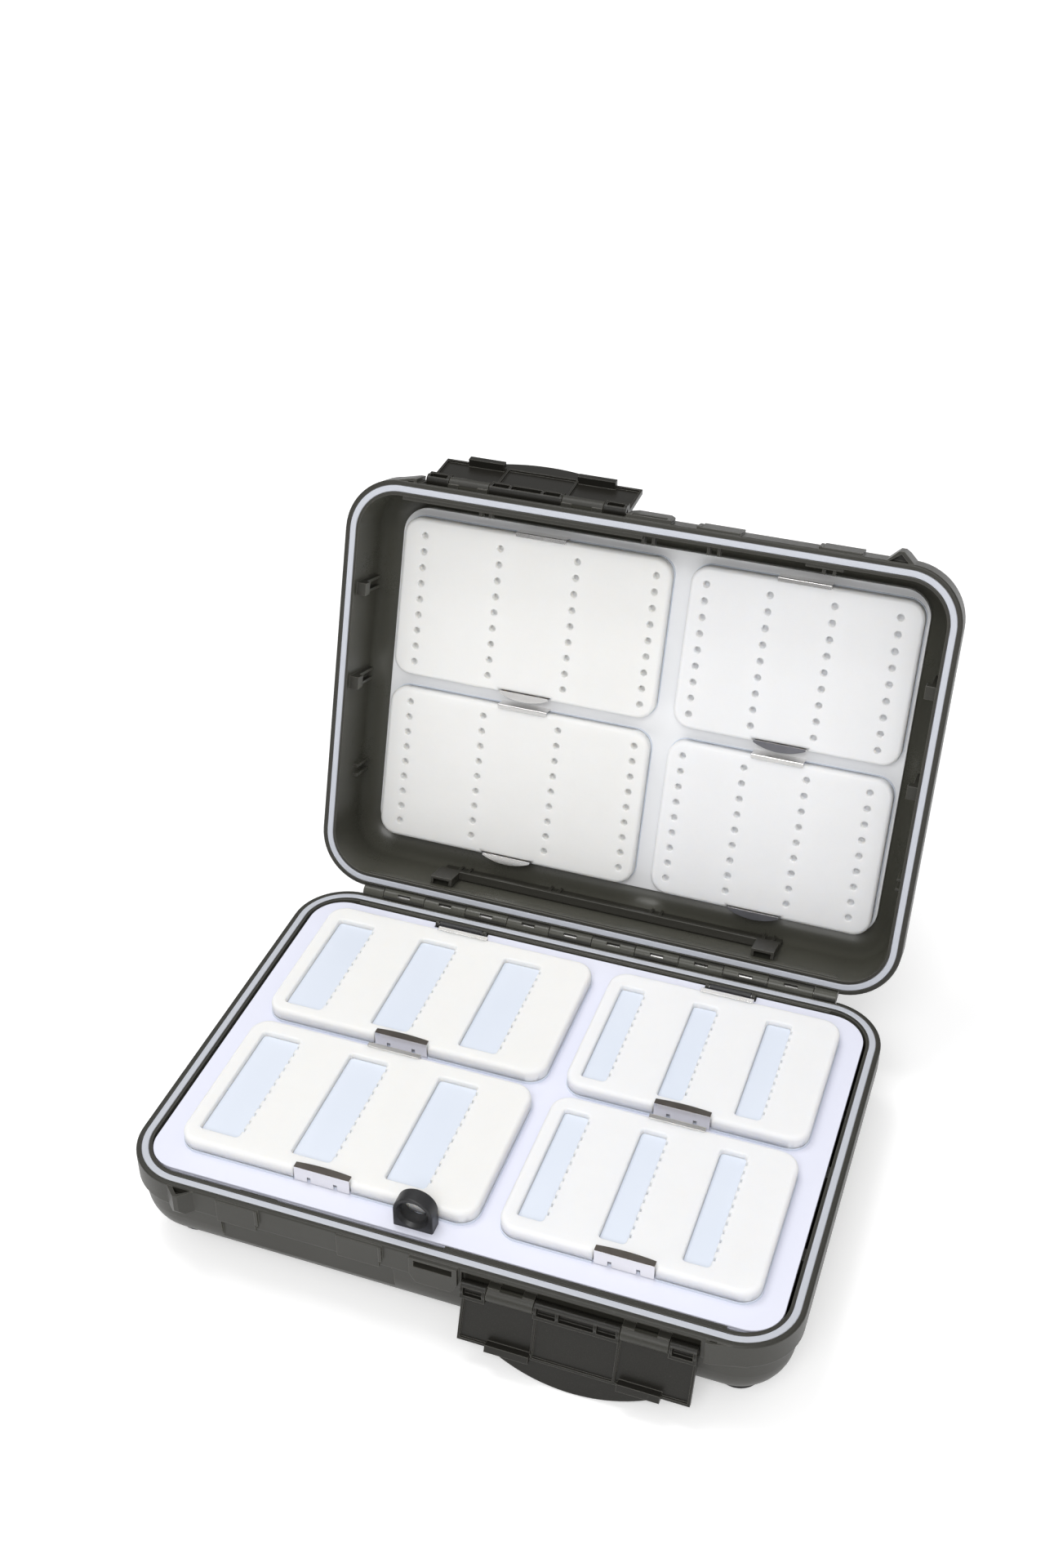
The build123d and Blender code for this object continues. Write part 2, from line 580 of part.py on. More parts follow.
def inner_lips():
    """Front lip, rear strip with slanted ends and the page's detent, on the cavity's walls."""
    front_y = (-CAVITY_HALF_DEPTH - EMBED, -CAVITY_HALF_DEPTH + FRONT_LIP_PROUD)
    low = -BOSS_TOP - FRONT_LIP_HEIGHT
    front = block((FRONT_LIP_LEFT, FRONT_LIP_RIGHT), front_y, (low, -BOSS_TOP))
    half = REAR_STRIP_HALF
    slant = REAR_STRIP_SLANT
    height = REAR_STRIP_HEIGHT
    outline = [(-half, 0), (half, 0), (half - slant, height), (slant - half, height)]
    strip_y = CAVITY_HALF_DEPTH - REAR_STRIP_THICKNESS
    plane = Plane(origin=(0, strip_y, -BOSS_TOP), x_dir=(1, 0, 0), z_dir=(0, 1, 0))
    rear = prism(outline, plane, REAR_STRIP_THICKNESS + EMBED)
    detent_y = (-CAVITY_HALF_DEPTH - EMBED, -CAVITY_HALF_DEPTH + DETENT_PROUD)
    detent = block((DETENT_LEFT, DETENT_RIGHT), detent_y, (-DETENT_TOP - DETENT_HEIGHT, -DETENT_TOP))
    return [front, rear, detent]


def side_ribs(side):
    """Hooked rib pairs that the page rests on, and a plain pair, on one side wall."""
    wall = CAVITY_HALF_WIDTH + EMBED
    rest = PAGE_BOTTOM_Z - PAGE_REST_GAP
    parts = []
    for y in SIDE_HOOK_Y + (SIDE_RIB_Y,):
        hooked = y in SIDE_HOOK_Y
        z = (-SIDE_HOOK_DEPTH, rest) if hooked else (-SIDE_RIB_BOTTOM, -SIDE_RIB_TOP)
        x = (side * (CAVITY_HALF_WIDTH - WALL_RIB_PROUD), side * wall)
        for offset in (-SIDE_RIB_PAIR_PITCH / 2, SIDE_RIB_PAIR_PITCH / 2):
            rib_y = (y + offset - WALL_RIB_WIDTH / 2, y + offset + WALL_RIB_WIDTH / 2)
            parts.append(block(x, rib_y, z))
        if hooked:
            hook_x = (side * (CAVITY_HALF_WIDTH - SIDE_HOOK_PROUD), side * wall)
            half = (SIDE_RIB_PAIR_PITCH + WALL_RIB_WIDTH) / 2
            parts.append(block(hook_x, (y - half, y + half), (rest - SIDE_HOOK_HEIGHT, rest)))
    return parts


def front_hooks():
    """Small hooks on the front wall, under the page's front edge."""
    rest = PAGE_BOTTOM_Z - PAGE_REST_GAP
    y = (-CAVITY_HALF_DEPTH - EMBED, -CAVITY_HALF_DEPTH + FRONT_HOOK_PROUD)
    parts = []
    for x in FRONT_HOOK_X:
        for offset in (-SIDE_RIB_PAIR_PITCH / 2, SIDE_RIB_PAIR_PITCH / 2):
            span = (x + offset - WALL_RIB_WIDTH / 2, x + offset + WALL_RIB_WIDTH / 2)
            parts.append(block(span, y, (rest - FRONT_HOOK_HEIGHT, rest)))
    return parts


def half_shell():
    """One moulded half, as the base uses it; turned over it is the lid."""
    keeper_body, keeper_slot = keeper()
    vee_body, vee_pocket = vee_lug()
    wedge_body, wedge_pocket = wedge_lug()
    spans = knuckle_spans()
    axis_clear = HINGE_BARREL_RADIUS + BARREL_CLEARANCE
    outside = [shell_walls(), keeper_body, vee_body, wedge_body] + foot_bosses() + catch_lugs()
    shell = join(outside) - catch_panel() - latch_bay()
    hinge_span = (-HINGE_HALF_LENGTH - KNUCKLE_END_GAP, HINGE_HALF_LENGTH + KNUCKLE_END_GAP)
    shell = shell - rod(axis_clear, hinge_span, HINGE_Y, 0)
    shell = join([shell] + [latch_seat(span) for span in SHELL_KNUCKLES])
    shell = join([shell] + [hinge_knuckle(span) for span in spans])
    shell = shell - shell_cavity() - seal_ring(SEAL_SIDE_CLEARANCE)
    inside = inner_lips() + side_ribs(-1) + side_ribs(1) + front_hooks()
    shell = join([shell] + inside)
    bore = rod(HINGE_PIN_RADIUS + PIN_CLEARANCE, hinge_span, HINGE_Y, 0)
    latch_span = (LATCH_LEFT - BAY_SIDE_CLEARANCE, LATCH_RIGHT + BAY_SIDE_CLEARANCE)
    latch_bore = rod(LATCH_PIN_RADIUS + PIN_CLEARANCE, latch_span, LATCH_Y, LATCH_Z)
    cuts = [keeper_slot, vee_pocket, wedge_pocket, bore, latch_bore]
    cuts += [hinge_slot(span) for span in spans if span[1] - span[0] > HINGE_PITCH / 2]
    for cut in cuts:
        shell = shell - cut
    return shell


def seal():
    """Soft seal with rounded top edges."""
    ring = seal_ring(0)
    return fillet(ring.faces().sort_by(Axis.Z)[-1].edges(), SEAL_EDGE_RADIUS)


def foot(x, y):
    """Rubber disc under one corner."""
    disc = Cylinder(FOOT_RADIUS, FOOT_HEIGHT)
    disc = fillet(disc.faces().sort_by(Axis.Z)[0].edges(), FOOT_EDGE_RADIUS)
    return Pos(x, y, -SHELL_HEIGHT - FOOT_HEIGHT / 2) * disc


def hinge_pin():
    """Steel pin through both halves' knuckles."""
    half = HINGE_HALF_LENGTH - HINGE_PIN_INSET
    return rod(HINGE_PIN_RADIUS, (-half, half), HINGE_Y, 0)


# ---- draw latch --------------------------------------------------------------------------------------------
def latch_block(x, up, out):
    """Box of the closed latch: up from its axis, out from its axis."""
    return block(x, (LATCH_Y - out[1], LATCH_Y - out[0]), (LATCH_Z + up[0], LATCH_Z + up[1]))


def latch_knuckle(span, pockets):
    """Barrel with a squared box round it, cored with pockets that lay the pin bare."""
    x = shorten(span, KNUCKLE_END_GAP)
    body = rod(LATCH_BARREL_RADIUS, x, LATCH_Y, LATCH_Z)
    body = body + latch_block(x, (0, LATCH_BOX_HEIGHT), (LATCH_BOX_INNER, LATCH_PLATE_OUTER))
    edges = [x[0] + LATCH_POCKET_WALL + share * (x[1] - x[0] - LATCH_POCKET_WALL) for share in pockets]
    for left, right in zip(edges[:-1], edges[1:]):
        pocket_x = (left, right - LATCH_POCKET_WALL)
        out = (-LATCH_BARREL_RADIUS - EMBED, LATCH_BOX_INNER + LATCH_POCKET_DEPTH)
        body = body - latch_block(pocket_x, (LATCH_POCKET_LOW, LATCH_POCKET_HIGH), out)
    return body


def latch_lip():
    """Curved grip beyond the free edge, a circular segment on the outer side."""
    radius = (LIP_HALF_CHORD**2 + LIP_REACH**2) / (2 * LIP_REACH)
    centre_up = LATCH_REACH + LIP_REACH - radius
    middle = (LATCH_LEFT + LATCH_RIGHT) / 2
    face = Plane(origin=(middle, LATCH_Y - LATCH_PLATE_OUTER, LATCH_Z + centre_up), z_dir=(0, -1, 0))
    disc = extrude(face * Circle(radius), LIP_THICKNESS)
    root = LATCH_REACH - LIP_ROOT
    x = (LATCH_LEFT, LATCH_RIGHT)
    out = (LATCH_PLATE_OUTER, LATCH_PLATE_OUTER + LIP_THICKNESS)
    return disc & latch_block(x, (root, LATCH_REACH + LIP_REACH), out)


def closed_latch():
    """The latch upright over the twin's catch lugs, pinned at its lower edge."""
    x = (LATCH_LEFT + KNUCKLE_END_GAP / 2, LATCH_RIGHT - KNUCKLE_END_GAP / 2)
    rib_out = (LATCH_PLATE_INNER, LATCH_SKIN_INNER + LAP)
    parts = [latch_block(x, (0, LATCH_REACH), (LATCH_SKIN_INNER, LATCH_PLATE_OUTER))]
    parts.append(latch_block((x[0], x[0] + LATCH_RIB), (0, LATCH_REACH), rib_out))
    parts.append(latch_block((x[1] - LATCH_RIB, x[1]), (0, LATCH_REACH), rib_out))
    parts.append(latch_block(x, (LATCH_REACH - LATCH_RIB, LATCH_REACH), rib_out))
    centre = LATCH_KNUCKLES[1]
    for rib_x in ((centre[0], centre[0] + LATCH_RIB), (centre[1] - LATCH_RIB, centre[1])):
        parts.append(latch_block(rib_x, (0, LATCH_REACH), rib_out))
    for span in HOOK_SPANS:
        top = LATCH_REACH + HOOK_PROUD
        out = (LATCH_SKIN_INNER + LAP - HOOK_DEPTH, LATCH_SKIN_INNER + LAP)
        parts.append(latch_block(span, (top - HOOK_THICKNESS, top), out))
    parts.append(latch_lip())
    latch = join(parts)
    swing = LATCH_BARREL_RADIUS + LATCH_SWING_CLEARANCE
    for span in SHELL_KNUCKLES:
        clear = (span[0] - KNUCKLE_END_GAP / 2, span[1] + KNUCKLE_END_GAP / 2)
        latch = latch - rod(swing, clear, LATCH_Y, LATCH_Z)
        latch = latch - latch_block(clear, (-swing, KNUCKLE_HORN_TOP + LATCH_SWING_CLEARANCE), (-swing, swing))
    for span, pockets in zip(LATCH_KNUCKLES, (END_POCKETS, CENTRE_POCKETS, END_POCKETS)):
        latch = latch + latch_knuckle(span, pockets)
    return latch - rod(LATCH_PIN_RADIUS + PIN_CLEARANCE, (LATCH_LEFT, LATCH_RIGHT), LATCH_Y, LATCH_Z)


def open_latch():
    """The latch swung out and down to its stop."""
    return turn_about_x(closed_latch(), LATCH_Y, LATCH_Z, LATCH_OPEN_ANGLE)


def latch_pin():
    """Steel pin through the latch and its shell knuckles."""
    return rod(LATCH_PIN_RADIUS, (LATCH_LEFT + LATCH_PIN_INSET, LATCH_RIGHT - LATCH_PIN_INSET), LATCH_Y, LATCH_Z)


# ---- rails --------------------------------------------------------------------------------------------------
def rail(end_top):
    """Long bracket snapped to the wall at the hinge side, with a ledge and two end boxes."""
    front = RAIL_BACK - RAIL_THICKNESS
    ledge_y = (RAIL_BACK - RAIL_LEDGE_DEPTH, RAIL_BACK)
    x = (RAIL_LEFT, RAIL_RIGHT)
    parts = [block(x, (front, RAIL_BACK), (-RAIL_BOTTOM, -RAIL_TOP))]
    parts.append(block(x, ledge_y, (-RAIL_TOP - RAIL_LEDGE_HEIGHT, -RAIL_TOP)))
    for left in (RAIL_LEFT, RAIL_RIGHT - RAIL_END_WIDTH):
        end_x = (left, left + RAIL_END_WIDTH)
        box = block(end_x, ledge_y, (-RAIL_TOP - RAIL_LEDGE_HEIGHT, -end_top))
        well_x = (end_x[0] + RAIL_THICKNESS, end_x[1] - RAIL_THICKNESS)
        well_y = (ledge_y[0] + RAIL_THICKNESS, RAIL_BACK + EMBED)
        parts.append(box - block(well_x, well_y, (-RAIL_TOP, -end_top + EMBED)))
    for middle in RAIL_RIB_X:
        for offset in (-SIDE_RIB_PAIR_PITCH / 2, SIDE_RIB_PAIR_PITCH / 2):
            rib_x = (middle + offset - WALL_RIB_WIDTH / 2, middle + offset + WALL_RIB_WIDTH / 2)
            parts.append(block(rib_x, (front - RAIL_RIB_PROUD, front + LAP), (-RAIL_BOTTOM, -RAIL_TOP - EMBED)))
    return join(parts)


def page_ear(left):
    """Ear of the page hinge on a post that rises from the rail."""
    x = (left, left + PAGE_EAR_WIDTH)
    eye = rod(PAGE_KNUCKLE_RADIUS, x, PAGE_HINGE_Y, PAGE_HINGE_Z)
    back = PAGE_HINGE_Y + PAGE_KNUCKLE_RADIUS
    arm = block(x, (PAGE_HINGE_Y, back), (PAGE_HINGE_Z - PAGE_EAR_DROP, PAGE_HINGE_Z))
    post = block(x, (PAGE_HINGE_Y, RAIL_BACK), (-RAIL_TOP - EMBED, PAGE_HINGE_Z - PAGE_EAR_DROP))
    return join([eye, arm, post])


def base_rail():
    """The base's rail also carries the ears of the page hinge."""
    ears = []
    for left, right in PAGE_HINGE_SPANS:
        ears += [page_ear(left), page_ear(right - PAGE_EAR_WIDTH)]
    body = join([rail(RAIL_END_TOP)] + ears)
    for left, right in PAGE_HINGE_SPANS:
        body = body - rod(PAGE_PIN_RADIUS + PIN_CLEARANCE, (left - EMBED, right + EMBED), PAGE_HINGE_Y, PAGE_HINGE_Z)
    return body


# ---- swing page -----------------------------------------------------------------------------------------------
def page_outline(inset):
    """Plan of the page, drawn in by inset."""
    half = PAGE_HALF_WIDTH - inset
    corners = [(-half, PAGE_FRONT + inset), (half, PAGE_FRONT + inset), (half, PAGE_REAR - inset)]
    corners.append((-half, PAGE_REAR - inset))
    face = make_face(Polyline(*corners, close=True))
    by_y = face.vertices().sort_by(Axis.Y)
    face = fillet(by_y[:2], PAGE_FRONT_RADIUS - inset)
    return fillet(face.vertices().sort_by(Axis.Y)[-2:], PAGE_REAR_RADIUS - inset)


def page_plate():
    """Stiff plate with a groove in its edge and two notches for its hinge."""
    plate = Pos(0, 0, PAGE_BOTTOM_Z) * extrude(page_outline(0), PAGE_THICKNESS)
    band = extrude(page_outline(-EMBED), PAGE_GROOVE_WIDTH)
    band = band - extrude(page_outline(PAGE_GROOVE_DEPTH), PAGE_GROOVE_WIDTH)
    middle = (PAGE_TOP_Z + PAGE_BOTTOM_Z - PAGE_GROOVE_WIDTH) / 2
    plate = plate - Pos(0, 0, middle) * band
    notch_front = PAGE_HINGE_Y - PAGE_KNUCKLE_RADIUS - PAGE_NOTCH_CLEARANCE
    for left, right in PAGE_HINGE_SPANS:
        x = (left - PAGE_NOTCH_CLEARANCE, right + PAGE_NOTCH_CLEARANCE)
        plate = plate - block(x, (notch_front, PAGE_REAR + EMBED), (PAGE_BOTTOM_Z - EMBED, PAGE_TOP_Z + EMBED))
    return plate


def page_hinge_leaves():
    """Two black leaves glued under the page, each with a web up through its notch to a knuckle."""
    leaves = []
    for left, right in PAGE_HINGE_SPANS:
        inset = PAGE_EAR_WIDTH + KNUCKLE_END_GAP
        x = (left + inset, right - inset)
        knuckle = rod(PAGE_KNUCKLE_RADIUS, x, PAGE_HINGE_Y, PAGE_HINGE_Z)
        leaf_z = (PAGE_BOTTOM_Z - PAGE_LEAF_THICKNESS, PAGE_BOTTOM_Z)
        web_y = (PAGE_HINGE_Y - PAGE_LEAF_WEB / 2, PAGE_HINGE_Y + PAGE_LEAF_WEB / 2)
        leaf = block(x, (PAGE_HINGE_Y - PAGE_LEAF_DEPTH, web_y[1]), leaf_z)
        leaf = fillet(leaf.edges().filter_by(Axis.Z).sort_by(Axis.Y)[:2], PAGE_LEAF_RADIUS)
        leaf = leaf + block(x, web_y, (leaf_z[0], PAGE_HINGE_Z))
        bore = rod(PAGE_PIN_RADIUS + PIN_CLEARANCE, (left, right), PAGE_HINGE_Y, PAGE_HINGE_Z)
        leaves.append(knuckle + leaf - bore)
    return group(leaves)


def page_hinge_pins():
    """Two short steel pins of the page hinge."""
    spans = [(left + PAGE_PIN_INSET, right - PAGE_PIN_INSET) for left, right in PAGE_HINGE_SPANS]
    return group([rod(PAGE_PIN_RADIUS, span, PAGE_HINGE_Y, PAGE_HINGE_Z) for span in spans])


def finger_ring():
    """Upright ring that the page is lifted by."""
    radius = RING_WIDTH / 2
    middle = RING_LEFT + radius
    back = RING_FRONT + RING_DEPTH
    body = block((RING_LEFT, RING_LEFT + RING_WIDTH), (RING_FRONT, back), (0, RING_SHOULDER))
    centre = Pos(middle, (RING_FRONT + back) / 2, RING_SHOULDER)
    body = body + centre * Rot(90, 0, 0) * Cylinder(radius, RING_DEPTH)
    body = fillet(body.edges().filter_by(Axis.Z), RING_EDGE_RADIUS)
    past_x = (RING_LEFT - EMBED, RING_LEFT + RING_WIDTH + EMBED)
    body = body - block(past_x, (RING_FRONT - EMBED, back + EMBED), (-radius, 0))
    bore = centre * Rot(90, 0, 0) * Cylinder(RING_BORE_RADIUS, RING_DEPTH + EMBED)
    funnel_y = RING_FRONT + RING_FUNNEL_DEPTH / 2
    funnel = Cone(RING_BORE_RADIUS, RING_FUNNEL_RADIUS, RING_FUNNEL_DEPTH)
    body = body - bore - Pos(middle, funnel_y, RING_SHOULDER) * Rot(90, 0, 0) * funnel
    return Pos(0, 0, PAGE_TOP_Z) * body


# ---- fly cards, on a plane z = 0 that they grow up from -----------------------------------------------------------
def card_edges(row):
    """Front and rear edge of a card: row -1 lies towards -y, row 1 towards +y."""
    return (CARD_INNER_EDGE, CARD_OUTER_EDGE) if row > 0 else (-CARD_OUTER_EDGE, -CARD_INNER_EDGE)


def card_slab(column, row, margin, low, high):
    """Rounded slab over a card's outline, grown by margin."""
    left, right = CARD_COLUMNS[column]
    front, rear = card_edges(row)
    centre = Pos((left + right) / 2, (front + rear) / 2, 0)
    half_x = (right - left) / 2 + margin
    half_y = (rear - front) / 2 + margin
    return centre * slab(half_x, half_y, CARD_CORNER_RADIUS + margin, low, high)


def spread(column, insets, count):
    """Evenly spaced x values between two insets from a card's edges."""
    first = CARD_COLUMNS[column][0] + insets[0]
    last = CARD_COLUMNS[column][1] - insets[1]
    return [first + (last - first) * index / (count - 1) for index in range(count)]


def page_clip(column):
    """Where the two clips of a page card are centred."""
    left, right = CARD_COLUMNS[column]
    return (left + right) / 2


def lid_clip(column):
    """Where the two clips of a lid card are centred."""
    return page_clip(column) + LID_CLIP_SHIFT[column]


def tab_cut(row, middle):
    """Notch in a card's front edge that the release tab stands in."""
    front = card_edges(row)[0]
    half = CLIP_WIDTH / 2 + TAB_CUT_MARGIN
    y = (front - BACKING_MARGIN - EMBED, front + TAB_CUT_DEPTH)
    return block((middle - half, middle + half), y, (-EMBED, CARD_HEIGHT + EMBED))


def lip_cut(row, middle):
    """Notch in a backing's rear edge round the foot of the fixed lip."""
    rear = card_edges(row)[1]
    half = CLIP_WIDTH / 2 + TAB_CUT_MARGIN
    y = (rear + LIP_WALL_GAP - LIP_CUT_CLEARANCE, rear + BACKING_MARGIN + EMBED)
    return block((middle - half, middle + half), y, (-EMBED, BACKING_THICKNESS + EMBED))


def backing(column, row, middle):
    """Thin plate that a card's foam is glued to."""
    plate = card_slab(column, row, BACKING_MARGIN, 0, BACKING_THICKNESS)
    return plate - tab_cut(row, middle) - lip_cut(row, middle)


def foam_slab(column, row, middle):
    """Soft slab with rounded upper edges."""
    foam = card_slab(column, row, 0, BACKING_THICKNESS, CARD_HEIGHT)
    foam = fillet(foam.faces().sort_by(Axis.Z)[-1].edges(), FOAM_EDGE_RADIUS)
    return foam - tab_cut(row, middle)


def window_slab(column, row, centre, margin, low, high):
    """Rounded slab over a window's outline, grown by margin."""
    front = card_edges(row)[0] + WINDOW_MARGINS[row][0]
    rear = card_edges(row)[1] - WINDOW_MARGINS[row][1]
    half_x = WINDOW_WIDTH[column] / 2 + margin
    half_y = (rear - front) / 2 + margin
    return Pos(centre, (front + rear) / 2, 0) * slab(half_x, half_y, WINDOW_CORNER_RADIUS + margin, low, high)


def padded_backing(column, row, middle):
    """Backing with a raised pad as the floor of each window."""
    plate = backing(column, row, middle)
    for centre in spread(column, WINDOW_INSETS[column], WINDOW_COUNT):
        plate = plate + window_slab(column, row, centre, -WINDOW_PAD_GAP, 0, BACKING_THICKNESS + WINDOW_PAD_HEIGHT)
    return plate


def window(column, row, centre):
    """One fly window with a row of small notches along its right edge."""
    half = WINDOW_WIDTH[column] / 2
    top = CARD_HEIGHT + EMBED
    cut = window_slab(column, row, centre, 0, BACKING_THICKNESS, top)
    front = card_edges(row)[0] + WINDOW_MARGINS[row][0]
    pitch = (card_edges(row)[1] - WINDOW_MARGINS[row][1] - front) / (NOTCH_COUNT + 1)
    for index in range(NOTCH_COUNT):
        y = front + pitch * (index + 1)
        x = (centre + half - LAP, centre + half + NOTCH_DEPTH)
        cut = cut + block(x, (y - NOTCH_WIDTH / 2, y + NOTCH_WIDTH / 2), (BACKING_THICKNESS, top))
    return cut


def windowed_foam(column, row, middle):
    """Page foam: three windows for large flies."""
    foam = foam_slab(column, row, middle)
    for centre in spread(column, WINDOW_INSETS[column], WINDOW_COUNT):
        foam = foam - window(column, row, centre)
    return foam


def pierced_foam(column, row, middle):
    """Lid foam: columns of round holes."""
    foam = foam_slab(column, row, middle)
    cutter = Cylinder(HOLE_RADIUS, 2 * HOLE_DEPTH)
    holes = []
    pitch = (HOLE_FAR - HOLE_NEAR) / (HOLE_ROWS - 1)
    for x in spread(column, HOLE_INSETS[column], HOLE_COLUMNS):
        for index in range(HOLE_ROWS):
            y = row * (HOLE_NEAR + index * pitch)
            holes.append(Pos(x, y, CARD_HEIGHT) * cutter)
    return foam - holes


def fixed_lip(row, middle, bite):
    """Steel lip behind a card's rear edge, folded over the foam."""
    x = (middle - CLIP_WIDTH / 2, middle + CLIP_WIDTH / 2)
    rear = card_edges(row)[1]
    wall_y = (rear + LIP_WALL_GAP, rear + LIP_WALL_GAP + CLIP_STEEL)
    top = CARD_HEIGHT + CLIP_STEEL
    lip = block(x, wall_y, (0, top)) + block(x, (rear - bite, wall_y[1]), (CARD_HEIGHT, top))
    corner = lip.edges().filter_by(Axis.X).sort_by(Axis.Z)[-2:].sort_by(Axis.Y)[-1]
    lip = fillet(corner, CLIP_BEND_RADIUS)
    return fillet(lip.edges().filter_by(Axis.Z).sort_by(Axis.Y)[:2], LIP_END_RADIUS)


def bowed_edge(middle, edge, bulge, low):
    """Steel segment on a clip's straight edge, bowed towards +y, or towards -y if bulge is below 0."""
    radius = ((CLIP_WIDTH / 2) ** 2 + bulge**2) / (2 * abs(bulge))
    centre = edge + bulge - copysign(radius, bulge)
    disc = Pos(middle, centre, low) * extrude(Circle(radius), CLIP_STEEL)
    half = CLIP_WIDTH / 2
    y = (edge - copysign(LAP, bulge), edge + bulge)
    return disc & block((middle - half, middle + half), y, (low, low + CLIP_STEEL))


def release_tab(row, middle, side):
    """Sprung steel tab at a card's front edge, bowed at one edge, with two relief slots."""
    x = (middle - CLIP_WIDTH / 2, middle + CLIP_WIDTH / 2)
    front = card_edges(row)[0]
    low = CARD_HEIGHT + TAB_FOAM_GAP
    rear = front + CLIP_STEEL + TAB_BITE[side]
    tab = block(x, (front, front + CLIP_STEEL), (TAB_FOOT_GAP, low + CLIP_STEEL))
    tab = tab + block(x, (front, rear), (low, low + CLIP_STEEL))
    bulge = TAB_BULGE[side]
    tab = tab + bowed_edge(middle, rear if bulge > 0 else front, bulge, low)
    for centre in (middle - TAB_SLOT_X, middle + TAB_SLOT_X):
        slot = (centre - TAB_SLOT_WIDTH / 2, centre + TAB_SLOT_WIDTH / 2)
        tab = tab - block(slot, (front - EMBED, front + EMBED), (0, TAB_FOOT_GAP + TAB_SLOT_HEIGHT))
    return tab


def on_page(shape):
    """Card plane to the page's upper face."""
    return in_base(Pos(0, 0, PAGE_TOP_Z) * shape)


def on_liner(shape):
    """Card plane to the lid liner's face, hanging from it with the lid closed."""
    return in_lid(Pos(0, LID_CARD_SHIFT, LINER_FACE_Z) * Rot(180, 0, 0) * shape)


def liner():
    """Board on the lid's floor that the lid's cards are clipped to."""
    top = LINER_FACE_Z + LINER_THICKNESS
    return slab(LINER_HALF_WIDTH, LINER_HALF_DEPTH, LINER_CORNER_RADIUS, LINER_FACE_Z, top)


# ---- the whole box -----------------------------------------------------------------------------------------------
def base_nodes():
    """Base shell with its seal, feet, rail, pins and latch."""
    nodes = {"base_tub": half_shell(), "base_gasket": seal(), "base_rail": base_rail()}
    for x_name, x in (("left", -FOOT_X), ("right", FOOT_X)):
        for y_name, y in (("front", FOOT_FRONT_Y), ("rear", FOOT_REAR_Y)):
            nodes[f"foot_{y_name}_{x_name}"] = foot(x, y)
    nodes["hinge_pin"] = hinge_pin()
    nodes["base_latch_pin"] = latch_pin()
    nodes["page_hinge_pins"] = page_hinge_pins()
    nodes["base_latch"] = open_latch()
    return {name: in_base(shape) for name, shape in nodes.items()}


def page_nodes():
    """Swing page with its ring, cards and clips."""
    nodes = {"page_plate": page_plate(), "page_hinge_leaves": page_hinge_leaves(), "finger_ring": finger_ring()}
    nodes = {name: in_base(shape) for name, shape in nodes.items()}
    for row_name, row in (("front", -1), ("rear", 1)):
        for column in CARD_COLUMNS:
            place = f"{row_name}_{column}"
            middle = page_clip(column)
            nodes[f"page_backing_{place}"] = on_page(padded_backing(column, row, middle))
            nodes[f"page_foam_{place}"] = on_page(windowed_foam(column, row, middle))
            nodes[f"page_lip_{place}"] = on_page(fixed_lip(row, middle, LIP_BITE["page"]))
            nodes[f"page_tab_{place}"] = on_page(release_tab(row, middle, "page"))
    return nodes


def lid_nodes():
    """Lid shell with its seal, liner, rail, latch, cards and clips."""
    twins = {"lid_shell": half_shell(), "lid_gasket": seal(), "lid_rail": rail(LID_RAIL_END_TOP)}
    twins["lid_latch_pin"] = latch_pin()
    twins["lid_latch"] = open_latch()
    nodes = {name: in_lid(turned_over(shape)) for name, shape in twins.items()}
    nodes["lid_liner"] = in_lid(liner())
    for row_name, row in (("front", 1), ("rear", -1)):
        for column in CARD_COLUMNS:
            place = f"{row_name}_{column}"
            middle = lid_clip(column)
            nodes[f"lid_backing_{place}"] = on_liner(backing(column, row, middle))
            nodes[f"lid_foam_{place}"] = on_liner(pierced_foam(column, row, middle))
            nodes[f"lid_lip_{place}"] = on_liner(fixed_lip(row, middle, LIP_BITE["lid"]))
            nodes[f"lid_tab_{place}"] = on_liner(release_tab(row, middle, "lid"))
    return nodes


os.makedirs("parts", exist_ok=True)
for name, shape in {**base_nodes(), **page_nodes(), **lid_nodes()}.items():
    shape.label = name
    export_step(shape, f"parts/{name}.step")
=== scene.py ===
import json
import math

import bmesh
import bpy
from mathutils import Matrix, Vector


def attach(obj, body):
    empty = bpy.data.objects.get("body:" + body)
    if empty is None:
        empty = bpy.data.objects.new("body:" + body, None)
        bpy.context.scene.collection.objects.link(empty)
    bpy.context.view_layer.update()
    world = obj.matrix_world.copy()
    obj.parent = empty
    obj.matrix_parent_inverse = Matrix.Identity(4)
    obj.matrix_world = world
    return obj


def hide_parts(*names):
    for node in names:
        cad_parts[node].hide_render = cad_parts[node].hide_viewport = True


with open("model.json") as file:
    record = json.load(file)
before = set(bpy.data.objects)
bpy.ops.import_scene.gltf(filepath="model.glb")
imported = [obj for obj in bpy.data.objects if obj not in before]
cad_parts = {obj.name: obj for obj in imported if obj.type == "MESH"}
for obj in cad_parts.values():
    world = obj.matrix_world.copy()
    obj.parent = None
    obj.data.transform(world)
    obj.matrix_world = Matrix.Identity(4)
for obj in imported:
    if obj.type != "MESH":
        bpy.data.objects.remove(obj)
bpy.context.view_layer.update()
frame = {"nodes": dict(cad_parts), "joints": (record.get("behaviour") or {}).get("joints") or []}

nodes = frame["nodes"]


# ---- Base tub and lid shell ------------------------------------------------
# Two like shells out of one mould, in olive-grey nylon. The outside carries a fine spark
# grain, the walls inside are smoother, and every moulded edge is slightly rounded.


